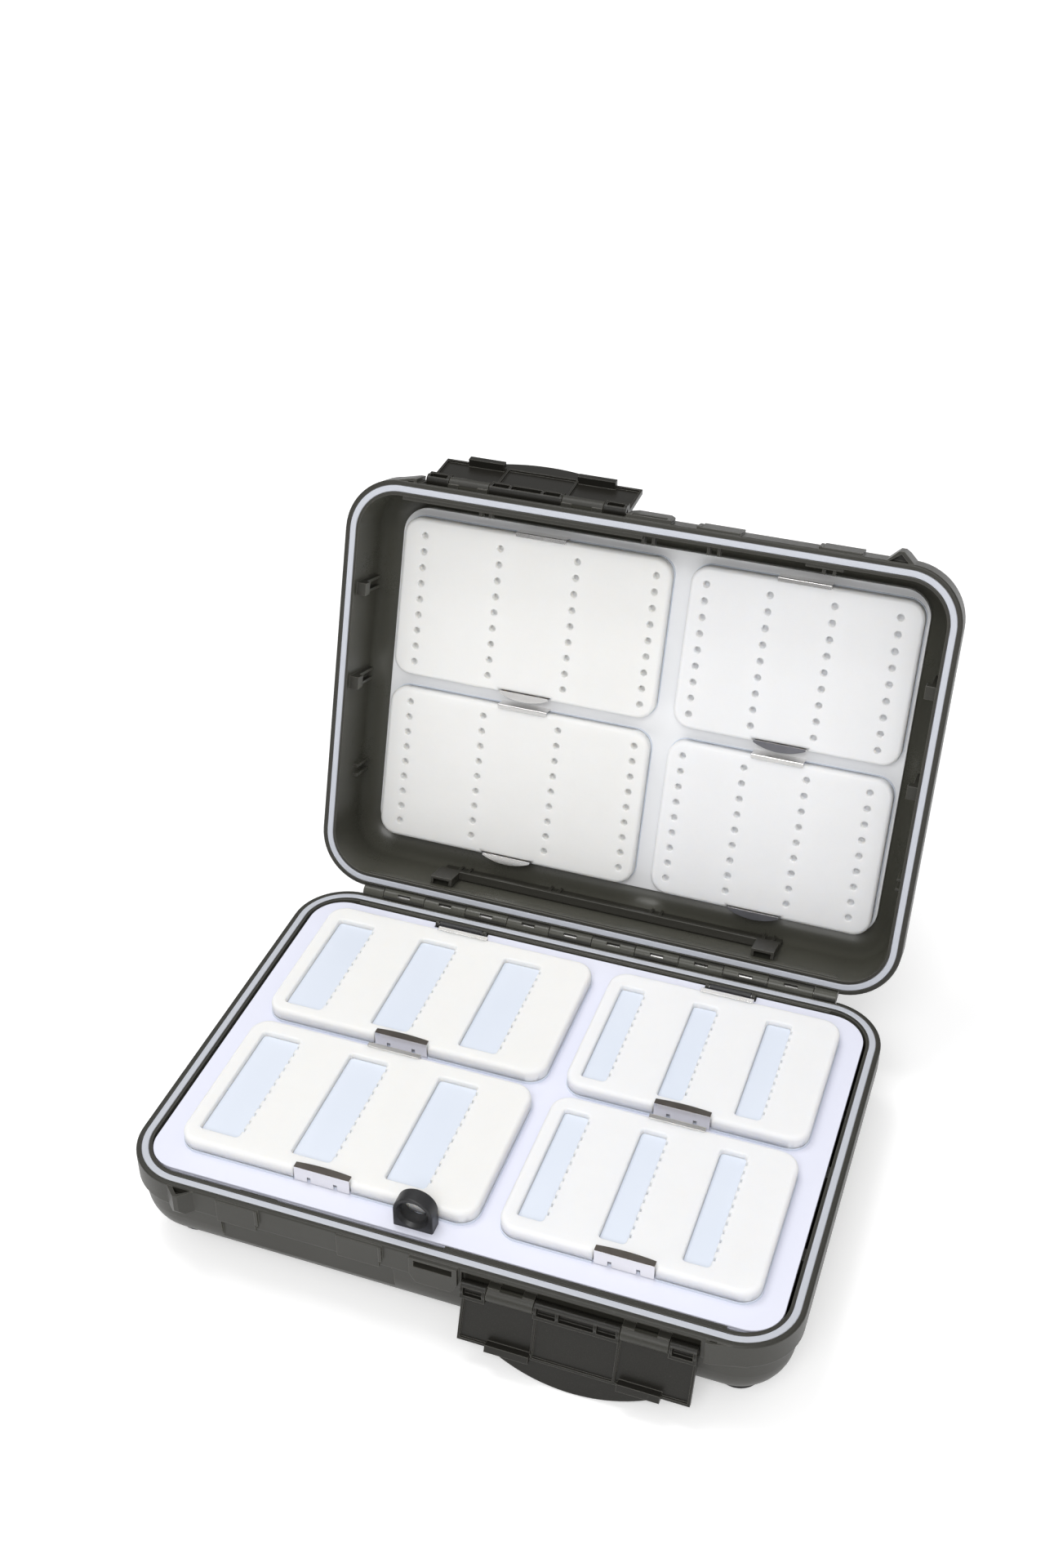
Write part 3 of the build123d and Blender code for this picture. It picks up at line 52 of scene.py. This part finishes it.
class Wire:
    """An output socket of a shader node that takes part in Python sums."""

    def __init__(self, socket):
        self.socket = socket

    def add(self, kind, settings, values, output=0):
        """A further node: its settings are made first, then its sockets get values or links."""
        tree = self.socket.id_data
        node = tree.nodes.new(kind)
        for name, setting in settings.items():
            setattr(node, name, setting)
        for name, value in values.items():
            if isinstance(value, Wire):
                tree.links.new(value.socket, node.inputs[name])
            else:
                node.inputs[name].default_value = value
        return Wire(node.outputs[output])

    def maths(self, operation, *values):
        """The result of a Math node on these values."""
        return self.add("ShaderNodeMath", {"operation": operation}, dict(enumerate(values)))

    def __add__(self, other):
        return self.maths("ADD", self, other)

    __radd__ = __add__

    def __sub__(self, other):
        return self.maths("SUBTRACT", self, other)

    def __rsub__(self, other):
        return self.maths("SUBTRACT", other, self)

    def __mul__(self, other):
        return self.maths("MULTIPLY", self, other)

    __rmul__ = __mul__

    def stepped(self, low, high):
        """0 below low, 1 above high and smooth between."""
        values = {"Value": self, "From Min": low, "From Max": high}
        return self.add("ShaderNodeMapRange", {"interpolation_type": "SMOOTHSTEP"}, values)

    def noise(self, scale, detail=2.0, roughness=0.5):
        """Cloudy noise at this place, with scale cycles to the metre."""
        values = {"Vector": self, "Scale": scale, "Detail": detail, "Roughness": roughness}
        return self.add("ShaderNodeTexNoise", {}, values, "Fac")

    def vector(self, operation, first, second, output=0):
        """The result of a Vector Math node on two values."""
        return self.add("ShaderNodeVectorMath", {"operation": operation}, {0: first, 1: second}, output)

    def along(self, direction):
        """How far this vector points along a direction."""
        return self.vector("DOT_PRODUCT", self, direction, "Value")

    def stretched(self, along_x, along_y, along_z):
        """This place with its axes scaled."""
        return self.vector("MULTIPLY", self, (along_x, along_y, along_z))

    def mixed(self, low, high):
        """Between two colours or colour sockets as this value goes from 0 to 1."""
        return self.add("ShaderNodeMix", {"data_type": "RGBA"}, {0: self, 6: low, 7: high}, 2)

    def tinted(self, low_colour, high_colour):
        """Between two plain colours as this value goes from 0 to 1."""
        return self.mixed((*low_colour, 1.0), (*high_colour, 1.0))

    def bump(self, strength, depth, normal=None):
        """The normal of a surface raised by this value times depth, in metres."""
        values = {"Height": self, "Strength": strength, "Distance": depth}
        if normal is not None:
            values["Normal"] = normal
        return self.add("ShaderNodeBump", {}, values)

    def rounded_edges(self, radius):
        """The normal of a surface whose edges are rounded to radius, in metres."""
        return self.add("ShaderNodeBevel", {"samples": 6}, {"Radius": radius})


class Finish:
    """A material, its shader and the place on the piece that its patterns follow."""

    def __init__(self, name):
        self.material = bpy.data.materials.new(name)
        self.material.use_nodes = True
        tree = self.material.node_tree
        self.shader = tree.nodes["Principled BSDF"]
        coordinates = tree.nodes.new("ShaderNodeTexCoord")
        self.place = Wire(coordinates.outputs["Object"])
        self.facing = Wire(coordinates.outputs["Normal"])

    def set(self, **sockets):
        """Sets the shader's sockets, named with _ for a space, to values or links."""
        for name, value in sockets.items():
            socket = self.shader.inputs[name.replace("_", " ")]
            if isinstance(value, Wire):
                self.material.node_tree.links.new(value.socket, socket)
            else:
                socket.default_value = value
        return self

    def on(self, *names):
        """Puts this finish on CAD nodes."""
        for name in names:
            for slot in nodes[name].material_slots:
                slot.material = self.material


OLIVE = (0.031, 0.0297, 0.0238)
OLIVE_WORN_AND_HIGHLIT = (0.170, 0.163, 0.138)
OLIVE_INSIDE_PAINTED_LIGHT = (0.066, 0.065, 0.052)
EDGE_ROUNDING = 0.0006
SPARK_GRAIN = 0.00009
TUB_CAVITY_MIDDLE = (0, 0, 0.030)
LID_CAVITY_MIDDLE = (0, 0.134, 0.130)


def olive_nylon(name, grain_height, dullness, colour_low=OLIVE, cavity=None, gloss=0.4):
    """Olive-grey nylon with a spark grain of this height and this mean roughness.

    Walls that face the cavity's middle, where there is one, are smoother, and lighter in colour as a painted
    reflection."""
    finish = Finish(name)
    place = finish.place
    edges = place.rounded_edges(EDGE_ROUNDING)
    grain = place.noise(2600, 3.0, 0.6)
    clouds = place.noise(34, 3.0)
    scuffs = place.noise(420, 4.0, 0.7).stepped(0.62, 0.78)
    facing = place.add("ShaderNodeNewGeometry", {}, {}, "Normal")
    # Rounded edges are lightened towards OLIVE_WORN_AND_HIGHLIT: partly real rubbing, partly a painted
    # highlight where the edges catch the light.
    worn_and_glinting = (1 - edges.along(facing)).stepped(0.03, 0.28) * (0.55 + clouds * 0.6)
    wear_and_glint = worn_and_glinting * 0.8 + scuffs * 0.12 + (grain - 0.5) * 0.25
    colour = wear_and_glint.tinted(colour_low, OLIVE_WORN_AND_HIGHLIT)
    shine = dullness + (clouds - 0.5) * 0.18 + (grain - 0.5) * 0.12
    relief = grain
    if cavity:
        towards_middle = place.vector("SUBTRACT", cavity, place)
        inside = finish.facing.along(towards_middle).stepped(0.004, 0.008)
        # Walls facing the cavity's middle take the lighter OLIVE_INSIDE_PAINTED_LIGHT: a painted reflection
        # of the bright surround on the smoother inner walls.
        colour = inside.mixed(colour, wear_and_glint.tinted(OLIVE_INSIDE_PAINTED_LIGHT, OLIVE_WORN_AND_HIGHLIT))
        shine = shine - inside * 0.12
        relief = grain * (1 - inside * 0.7)
    finish.set(Base_Color=colour, Roughness=shine, Specular_IOR_Level=gloss)
    finish.set(Normal=relief.bump(0.55, grain_height, edges))
    return finish


olive_nylon("tub_nylon", SPARK_GRAIN, 0.42, cavity=TUB_CAVITY_MIDDLE).on("base_tub")
olive_nylon("lid_nylon", SPARK_GRAIN, 0.42, cavity=LID_CAVITY_MIDDLE).on("lid_shell")


# ---- Rubber feet -----------------------------------------------------------
# Four black rubber discs pressed into bosses under the corners of the base. They are
# matt, with a little moulding bloom.

foot_rubber = Finish("foot_rubber")
bloom = foot_rubber.place.noise(180, 4.0, 0.6)
pores = foot_rubber.place.noise(3200, 2.0)
foot_rubber.set(Base_Color=bloom.tinted((0.012, 0.012, 0.012), (0.030, 0.029, 0.028)))
foot_rubber.set(Roughness=0.68 + bloom * 0.2, Normal=pores.bump(0.4, 0.00008))
foot_rubber.on("foot_front_left", "foot_front_right", "foot_rear_left", "foot_rear_right")


# ---- Rim seals -------------------------------------------------------------
# A pale grey silicone cord lies in a groove round the rim of each shell. It is smooth
# and slightly waxy, and picks up a little dust.

seal_rubber = Finish("seal_rubber")
dust = seal_rubber.place.noise(900, 4.0, 0.7).stepped(0.60, 0.80)
ripple = seal_rubber.place.noise(260, 2.0)
seal_colour = (dust * 0.5 + (ripple - 0.5) * 0.2).tinted((0.52, 0.54, 0.59), (0.43, 0.445, 0.475))
seal_rubber.set(Base_Color=seal_colour, Roughness=0.42 + ripple * 0.12 + dust * 0.2)
seal_rubber.set(Normal=ripple.bump(0.25, 0.00012))
seal_rubber.on("base_gasket", "lid_gasket")


# ---- Hinge pin and latch pins ----------------------------------------------
# Drawn steel wire, cut to length and driven through the knuckles. Drawing leaves fine
# lines along each pin, and the two latch pins are blackened.

drawn_steel = Finish("drawn_steel")
lines = drawn_steel.place.stretched(60, 5200, 5200).noise(1, 2.0)
drawn_steel.set(Base_Color=lines.tinted((0.44, 0.43, 0.42), (0.62, 0.61, 0.60)), Metallic=1.0)
drawn_steel.set(Roughness=0.24 + lines * 0.2, Normal=lines.bump(0.3, 0.00003))
drawn_steel.on("hinge_pin", "page_hinge_pins")

blackened_steel = Finish("blackened_steel")
oxide = blackened_steel.place.stretched(60, 4200, 4200).noise(1, 2.0)
blackened_steel.set(Base_Color=oxide.tinted((0.020, 0.019, 0.018), (0.055, 0.052, 0.048)), Metallic=0.6)
blackened_steel.set(Roughness=0.38 + oxide * 0.2, Normal=oxide.bump(0.3, 0.00003))
blackened_steel.on("base_latch_pin", "lid_latch_pin")


# ---- Draw latches ----------------------------------------------------------
# Each latch is one moulding with a curved grip: hook bar, ribs and knuckles. It is the
# shells' nylon with a finer grain, coloured darker as painted shade, and turns on a pin in their knuckles.

# The latches' darker colour is painted shade: they sit low at the front and take less light than the shells.
LATCH_OLIVE_SHADED = (0.0150, 0.0140, 0.0112)
LATCH_GRAIN = 0.00006

olive_nylon("latch_nylon", LATCH_GRAIN, 0.33, LATCH_OLIVE_SHADED, gloss=0.28).on("base_latch", "lid_latch")


# ---- Page brackets ---------------------------------------------------------
# A moulded nylon rail snapped in along the hinge side of each shell. The base's one
# carries the ears that the swing page turns on.

RAIL_GRAIN = 0.00005

olive_nylon("rail_nylon", RAIL_GRAIN, 0.36).on("base_rail", "lid_rail")


# ---- Swing page ------------------------------------------------------------
# One stiff sheet of bluish-white plastic with rounded corners lies over the tub. Its
# skin is satin with a faint orange peel.

page_sheet = Finish("page_sheet")
peel = page_sheet.place.noise(420, 2.0)
drift = page_sheet.place.noise(9, 2.0)
page_sheet.set(Base_Color=drift.tinted((0.77, 0.785, 0.905), (0.81, 0.82, 0.925)))
page_edges = page_sheet.place.rounded_edges(0.0004)
page_sheet.set(Roughness=0.30 + drift * 0.12, Normal=peel.bump(0.18, 0.00006, page_edges))
page_sheet.on("page_plate")


# ---- Page hinge leaves and finger ring -------------------------------------
# Small black mouldings: two leaves glued under the page's rear edge, and the upright
# ring near its front edge that a fingertip lifts it by.

black_moulding = Finish("black_moulding")
flow = black_moulding.place.noise(160, 3.0)
speck = black_moulding.place.noise(2600, 2.0)
black_edges = black_moulding.place.rounded_edges(0.0004)
black_moulding.set(Base_Color=flow.tinted((0.010, 0.010, 0.011), (0.022, 0.022, 0.024)))
black_moulding.set(Roughness=0.34 + flow * 0.14, Normal=speck.bump(0.35, 0.00005, black_edges))
black_moulding.on("page_hinge_leaves", "finger_ring")


# ---- Lid liner -------------------------------------------------------------
# A pale moulded board, faintly grained, that lies on the lid's floor. The lid's four
# cards are clipped to it.

liner_board = Finish("liner_board")
board_grain = liner_board.place.noise(700, 3.0)
board_tone = liner_board.place.noise(12, 2.0)
liner_board.set(Base_Color=board_tone.tinted((0.83, 0.84, 0.855), (0.87, 0.87, 0.88)))
board_edges = liner_board.place.rounded_edges(0.0005)
liner_board.set(Roughness=0.44 + board_grain * 0.14)
liner_board.set(Normal=board_grain.bump(0.2, 0.00005, board_edges))
liner_board.on("lid_liner")


# ---- Card backings ---------------------------------------------------------
# Thin translucent plates, cut from pale blue sheet, under every foam. They close the
# windows of the page's cards from below and show as a fine line round each foam.

PLACES = [f"{row}_{column}" for row in ("front", "rear") for column in ("wide", "narrow")]

backing_sheet = Finish("backing_sheet")
haze = backing_sheet.place.noise(22, 2.0)
sheet_grain = backing_sheet.place.noise(1500, 2.0)
backing_sheet.set(Base_Color=haze.tinted((0.69, 0.745, 0.84), (0.74, 0.785, 0.87)))
backing_sheet.set(Roughness=0.34 + haze * 0.12, Normal=sheet_grain.bump(0.15, 0.00003))
backing_sheet.on(*[f"{side}_backing_{place}" for side in ("page", "lid") for place in PLACES])


# ---- Foam cards ------------------------------------------------------------
# Closed-cell foam with a smooth skin, cut out, rolled over at its upper edges and bonded
# to its backing. The page's four cards have windows with a notched right edge, the lid's
# four have rows of blind holes.

COLUMN_EDGES = {"wide": (-0.1155, 0.0080), "narrow": (0.0164, 0.1164)}
ROW_EDGES = {-1: (-0.0753, -0.00315), 1: (0.00315, 0.0753)}
FOAM_BOTTOM = 0.0010
FOAM_TOP = 0.0065
CORNER_RADIUS = 0.008
ROLLED_RADIUS = 0.0017
RECESS_HALF_WIDTH = 0.0121
RECESS_DEPTH = 0.001
CLIP_MIDDLE = {"page": {"wide": -0.05375, "narrow": 0.0664}, "lid": {"wide": -0.0518, "narrow": 0.065}}
WINDOW_MIDDLES = {"wide": (-0.10075, -0.0616, -0.02245), "narrow": (0.0276, 0.05945, 0.0913)}
WINDOW_HALF_WIDTH = {"wide": 0.0084, "narrow": 0.00525}
WINDOW_ENDS = {-1: (-0.0682, -0.0106), 1: (0.0088, 0.0664)}
WINDOW_CORNER = 0.0016
WINDOW_RIM = 0.0007
WINDOW_FLOOR = 0.0039
NOTCHES = 12
NOTCH_WIDTH = 0.0015
NOTCH_DEPTH = 0.0009
HOLE_MIDDLES = {"wide": (-0.1055, -0.0699, -0.0343, 0.0013), "narrow": (0.0235, 0.05113, 0.07877, 0.1064)}
HOLE_FIRST = 0.0096
HOLE_PITCH = 0.00725
HOLE_ROWS = 9
HOLE_RADIUS = 0.00145
HOLE_RIM = 0.0005
HOLE_DEPTH = 0.004
HOLE_SIDES = 18
PAGE_CARD_DROP = 0.0005
LID_CARD_FORWARD = 0.0008
LID_CARD_DEPTH = 0.0314


def rounded_rectangle(left, right, low, high, radius, steps):
    """Its corner points, anticlockwise from the lower left corner's end."""
    centres = ((right, low, -1, 1), (right, high, -1, -1), (left, high, 1, -1), (left, low, 1, 1))
    points = []
    for index, (x, y, inward_x, inward_y) in enumerate(centres):
        centre = Vector((x + inward_x * radius, y + inward_y * radius))
        for step in range(steps + 1):
            angle = math.radians(90 * (index - 1 + step / steps))
            points.append(centre + radius * Vector((math.cos(angle), math.sin(angle))))
    return points


def moved_inward(points, distance):
    """A closed outline moved to its left by distance, which is towards the foam."""
    moved = []
    for index, point in enumerate(points):
        before = (point - points[index - 1]).normalized()
        after = (points[(index + 1) % len(points)] - point).normalized()
        left = Vector((-before.y - after.y, before.x + after.x))
        moved.append(point + left * (distance / (1 + before.dot(after))))
    return moved


def ring(mesh, points, height):
    """The points as mesh vertices at one height."""
    return [mesh.verts.new((point.x, point.y, height)) for point in points]


def skin(mesh, lower, upper):
    """Joins two rings of equal length with faces."""
    for index in range(len(lower)):
        mesh.faces.new((lower[index - 1], lower[index], upper[index], upper[index - 1]))


def wall(mesh, outline, low, high, radius, steps):
    """A wall along an outline, rolled over at its top; gives its lowest and innermost rings."""
    lowest = ring(mesh, outline, low)
    last = lowest
    for step in range(steps + 1):
        angle = math.radians(90 * step / steps)
        inset = moved_inward(outline, radius * (1 - math.cos(angle)))
        here = ring(mesh, inset, high - radius + radius * math.sin(angle))
        skin(mesh, last, here)
        last = here
    return lowest, last


def ring_edges(mesh, points):
    """The edges of a closed ring."""
    return [mesh.edges.get((points[index - 1], points[index])) for index in range(len(points))]


def foam_outline(side, row, column):
    """The foam's outline, anticlockwise, with the recess for its release tab."""
    left, right = COLUMN_EDGES[column]
    low, high = ROW_EDGES[row]
    points = rounded_rectangle(left, right, low, high, CORNER_RADIUS, 10)
    middle = CLIP_MIDDLE[side][column]
    start, end = middle - RECESS_HALF_WIDTH, middle + RECESS_HALF_WIDTH
    deep = low + RECESS_DEPTH
    return points + [Vector((start, low)), Vector((start, deep)), Vector((end, deep)), Vector((end, low))]


def window_outlines(row, column):
    """The three windows' outlines, clockwise: each plain, then with notches in its right edge."""
    low, high = WINDOW_ENDS[row]
    pitch = (high - low) / (NOTCHES + 1)
    outlines = []
    for middle in WINDOW_MIDDLES[column]:
        half = WINDOW_HALF_WIDTH[column]
        corners = rounded_rectangle(middle - half, middle + half, low, high, WINDOW_CORNER, 4)
        teeth = []
        for index in range(NOTCHES):
            bottom = low + pitch * (index + 1) - NOTCH_WIDTH / 2
            for x, y in ((0, 0), (NOTCH_DEPTH, 0), (NOTCH_DEPTH, NOTCH_WIDTH), (0, NOTCH_WIDTH)):
                teeth.append(Vector((middle + half + x, bottom + y)))
        outlines.append((corners[::-1], (corners[:5] + teeth + corners[5:])[::-1]))
    return outlines


def hole_outlines(row, column):
    """The holes' outlines, clockwise."""
    outlines = []
    for x in HOLE_MIDDLES[column]:
        for index in range(HOLE_ROWS):
            centre = Vector((x, row * (HOLE_FIRST + HOLE_PITCH * index)))
            turns = [math.radians(-360 / HOLE_SIDES * step) for step in range(HOLE_SIDES)]
            outlines.append([centre + HOLE_RADIUS * Vector((math.cos(a), math.sin(a))) for a in turns])
    return outlines


def foam_card(side, row, column):
    """One foam slab in the card's own frame, with the card lying face up."""
    mesh = bmesh.new()
    foot, crown = wall(mesh, foam_outline(side, row, column), FOAM_BOTTOM, FOAM_TOP, ROLLED_RADIUS, 8)
    tops, bottoms = ring_edges(mesh, crown), ring_edges(mesh, foot)
    if side == "page":
        for plain, notched in window_outlines(row, column):
            foot, ledge = ring(mesh, plain, FOAM_BOTTOM), ring(mesh, plain, WINDOW_FLOOR)
            skin(mesh, foot, ledge)
            notch_floor, crown = wall(mesh, notched, WINDOW_FLOOR, FOAM_TOP, WINDOW_RIM, 4)
            shelf = ring_edges(mesh, ledge) + ring_edges(mesh, notch_floor)
            bmesh.ops.triangle_fill(mesh, edges=shelf, use_beauty=True)
            tops += ring_edges(mesh, crown)
            bottoms += ring_edges(mesh, foot)
    else:
        for outline in hole_outlines(row, column):
            foot, crown = wall(mesh, outline, FOAM_TOP - HOLE_DEPTH, FOAM_TOP, HOLE_RIM, 3)
            tops += ring_edges(mesh, crown)
            mesh.faces.new(foot)
    bmesh.ops.triangle_fill(mesh, edges=tops, use_beauty=True)
    bmesh.ops.triangle_fill(mesh, edges=bottoms, use_beauty=True)
    bmesh.ops.recalc_face_normals(mesh, faces=mesh.faces[:])
    return mesh


def foam_finish(name, light, shade):
    """Foam skin between two close colours, with fine cells and a soft unevenness."""
    finish = Finish(name)
    cells = finish.place.add("ShaderNodeTexVoronoi", {}, {"Vector": finish.place, "Scale": 2300}, "Distance")
    mottle = finish.place.noise(70, 4.0, 0.6)
    swell = finish.place.noise(110, 2.0)
    finish.set(Base_Color=(mottle * 0.8 + cells * 0.3).tinted(light, shade))
    relief = swell + cells * 0.12
    finish.set(Roughness=0.62 + mottle * 0.12, Normal=relief.bump(0.3, 0.0005))
    finish.set(Subsurface_Weight=0.9, Subsurface_Radius=(1.0, 0.95, 0.88), Subsurface_Scale=0.004)
    return finish


foam_skins = {
    "wide": foam_finish("foam_warm", (0.88, 0.875, 0.86), (0.84, 0.835, 0.815)),
    "narrow": foam_finish("foam_cool", (0.88, 0.88, 0.885), (0.84, 0.84, 0.845)),
}
hinge = next(joint for joint in frame["joints"] if joint["name"] == "lid_hinge")
hinge_line = Matrix.Translation(Vector(hinge["pos_m"]))
parting_height = hinge["pos_m"][2]
opened = Matrix.Rotation(-math.radians(hinge["range_deg"][1]), 4, "X")
face_down = Matrix.Rotation(math.pi, 4, "X")
lid_floor = Matrix.Translation(Vector((0, LID_CARD_FORWARD, parting_height + LID_CARD_DEPTH)))
CARD_PLACES = {
    "page": Matrix.Translation(Vector((0, 0, parting_height - PAGE_CARD_DROP))),
    "lid": hinge_line @ opened @ hinge_line.inverted() @ lid_floor @ face_down,
}
CARD_ROWS = {"page": {"front": -1, "rear": 1}, "lid": {"front": 1, "rear": -1}}

for side in ("page", "lid"):
    for place in PLACES:
        row, column = place.split("_")
        mesh = foam_card(side, CARD_ROWS[side][row], column)
        mesh.transform(CARD_PLACES[side])
        name = f"{side}_foam_{place}"
        foam = bpy.data.objects.new(f"{name}_skin", bpy.data.meshes.new(f"{name}_skin"))
        mesh.to_mesh(foam.data)
        mesh.free()
        foam.data.shade_smooth()
        foam.data.materials.append(foam_skins[column].material)
        bpy.context.scene.collection.objects.link(foam)
        crisp = foam.modifiers.new("crisp", "WEIGHTED_NORMAL")
        crisp.keep_sharp = True
        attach(foam, side)
        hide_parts(name)


# ---- Card clips ------------------------------------------------------------
# Bright rolled spring steel, stamped and folded: a fixed lip behind each card, and at
# its front a release tab with a bowed thumb edge. Rolling leaves lines along them.

UPWARD = (0, 0, 1)
OUT_OF_LID = (0, -0.953, 0.303)


def spring_steel(name, reflecting_direction=None, dark=None, light=None):
    """Bright rolled steel; a face that looks along the given direction, if any, carries a painted reflection
    between dark and light.
    """
    finish = Finish(name)
    rolled = finish.place.stretched(40, 2600, 2600).noise(1, 2.0)
    smear = finish.place.noise(120, 2.0)
    colour = (rolled * 0.6 + smear * 0.4).tinted((0.78, 0.765, 0.745), (0.92, 0.91, 0.90))
    shine = 0.14 + rolled * 0.08 + smear * 0.06
    if reflecting_direction:
        # Faces looking along the given direction get a painted reflection: a darker tinted band standing in
        # for what the folded top face reflects.
        painted_reflection = finish.facing.along(reflecting_direction).stepped(0.80, 0.95)
        colour = painted_reflection.mixed(colour, smear.tinted(dark, light))
        shine = shine + painted_reflection * 0.25
    clip_edges = finish.place.rounded_edges(0.0002)
    finish.set(Base_Color=colour, Metallic=1.0, Roughness=shine)
    finish.set(Normal=rolled.bump(0.12, 0.000004, clip_edges))
    return finish


clip_steel = spring_steel("clip_steel")
clip_steel.on(*[f"{side}_lip_{place}" for side in ("page", "lid") for place in PLACES])
clip_steel.on("lid_tab_front_wide", "lid_tab_rear_wide")
# The page tabs' upward faces carry a painted brown reflection, and the lid's narrow tabs a painted grey one.
brown_reflection_topped = spring_steel("brown_topped_steel", UPWARD, (0.085, 0.074, 0.068), (0.16, 0.145, 0.13))
brown_reflection_topped.on(*[f"page_tab_{place}" for place in PLACES])
grey_reflection_topped = spring_steel("grey_topped_steel", OUT_OF_LID, (0.15, 0.15, 0.165), (0.24, 0.24, 0.26))
grey_reflection_topped.on("lid_tab_front_narrow", "lid_tab_rear_narrow")


# ---- Floor, light and camera -----------------------------------------------
# A plain white surface, lit from within away from the box, under a dim even surround.
# One soft lamp hangs overhead and a larger one stands in front.

FLOOR_HALF = 60
OVERHEAD_POWER = 4.5
FRONT_POWER = 15.5

floor_mesh = bpy.data.meshes.new("floor")
floor_turns = ((-1, -1), (1, -1), (1, 1), (-1, 1))
floor_corners = [(x * FLOOR_HALF, y * FLOOR_HALF, 0) for x, y in floor_turns]
floor_mesh.from_pydata(floor_corners, [], [(0, 1, 2, 3)])
floor = bpy.data.objects.new("floor", floor_mesh)
bpy.context.scene.collection.objects.link(floor)
floor_finish = Finish("floor_white")
floor_finish.set(Base_Color=(0.88, 0.88, 0.88, 1.0), Roughness=0.9, Specular_IOR_Level=0.1)
spot = {0: floor_finish.place}
away = floor_finish.place.add("ShaderNodeVectorMath", {"operation": "LENGTH"}, spot, "Value")
floor_glow = away.stepped(0.4, 1.6).tinted((0.37, 0.37, 0.37), (0.90, 0.90, 0.90))
floor_finish.set(Emission_Color=floor_glow, Emission_Strength=1.0)
floor_mesh.materials.append(floor_finish.material)

surround = bpy.data.worlds.new("surround")
surround.use_nodes = True
background = surround.node_tree.nodes["Background"]
background.inputs["Color"].default_value = (1.0, 1.0, 1.0, 1.0)
sky = Wire(surround.node_tree.nodes.new("ShaderNodeTexCoord").outputs["Generated"])
height = sky.add("ShaderNodeSeparateXYZ", {}, {"Vector": sky}, "Z")
glow = 0.16 + height.stepped(0.05, 0.8) * 0.50
surround.node_tree.links.new(glow.socket, background.inputs["Strength"])
bpy.context.scene.world = surround


def soft_lamp(name, place, target, size, power):
    """A square softbox at a place, aimed at a target."""
    light = bpy.data.lights.new(name, "AREA")
    light.size = size
    light.energy = power
    lamp = bpy.data.objects.new(name, light)
    lamp.location = place
    lamp.rotation_euler = (Vector(target) - Vector(place)).to_track_quat("-Z", "Y").to_euler()
    bpy.context.scene.collection.objects.link(lamp)


soft_lamp("overhead", (-0.35, 0.10, 1.30), (0, 0.03, 0.05), 0.5, OVERHEAD_POWER)
soft_lamp("front", (0.15, -1.35, 1.40), (0, 0.05, 0.1), 0.9, FRONT_POWER)

camera_data = bpy.data.cameras.new("camera")
camera_data.sensor_fit = "VERTICAL"
camera_data.sensor_height = 36
camera_data.lens = 42.163
camera_data.clip_start = 0.01
camera = bpy.data.objects.new("camera", camera_data)
camera.location = (0.176766, -0.503203, 0.574900)
camera.rotation_euler = [math.radians(angle) for angle in (54.3996, -0.2004, 19.4781)]
bpy.context.scene.collection.objects.link(camera)
bpy.context.scene.camera = camera
bpy.context.scene.view_settings.view_transform = "Standard"
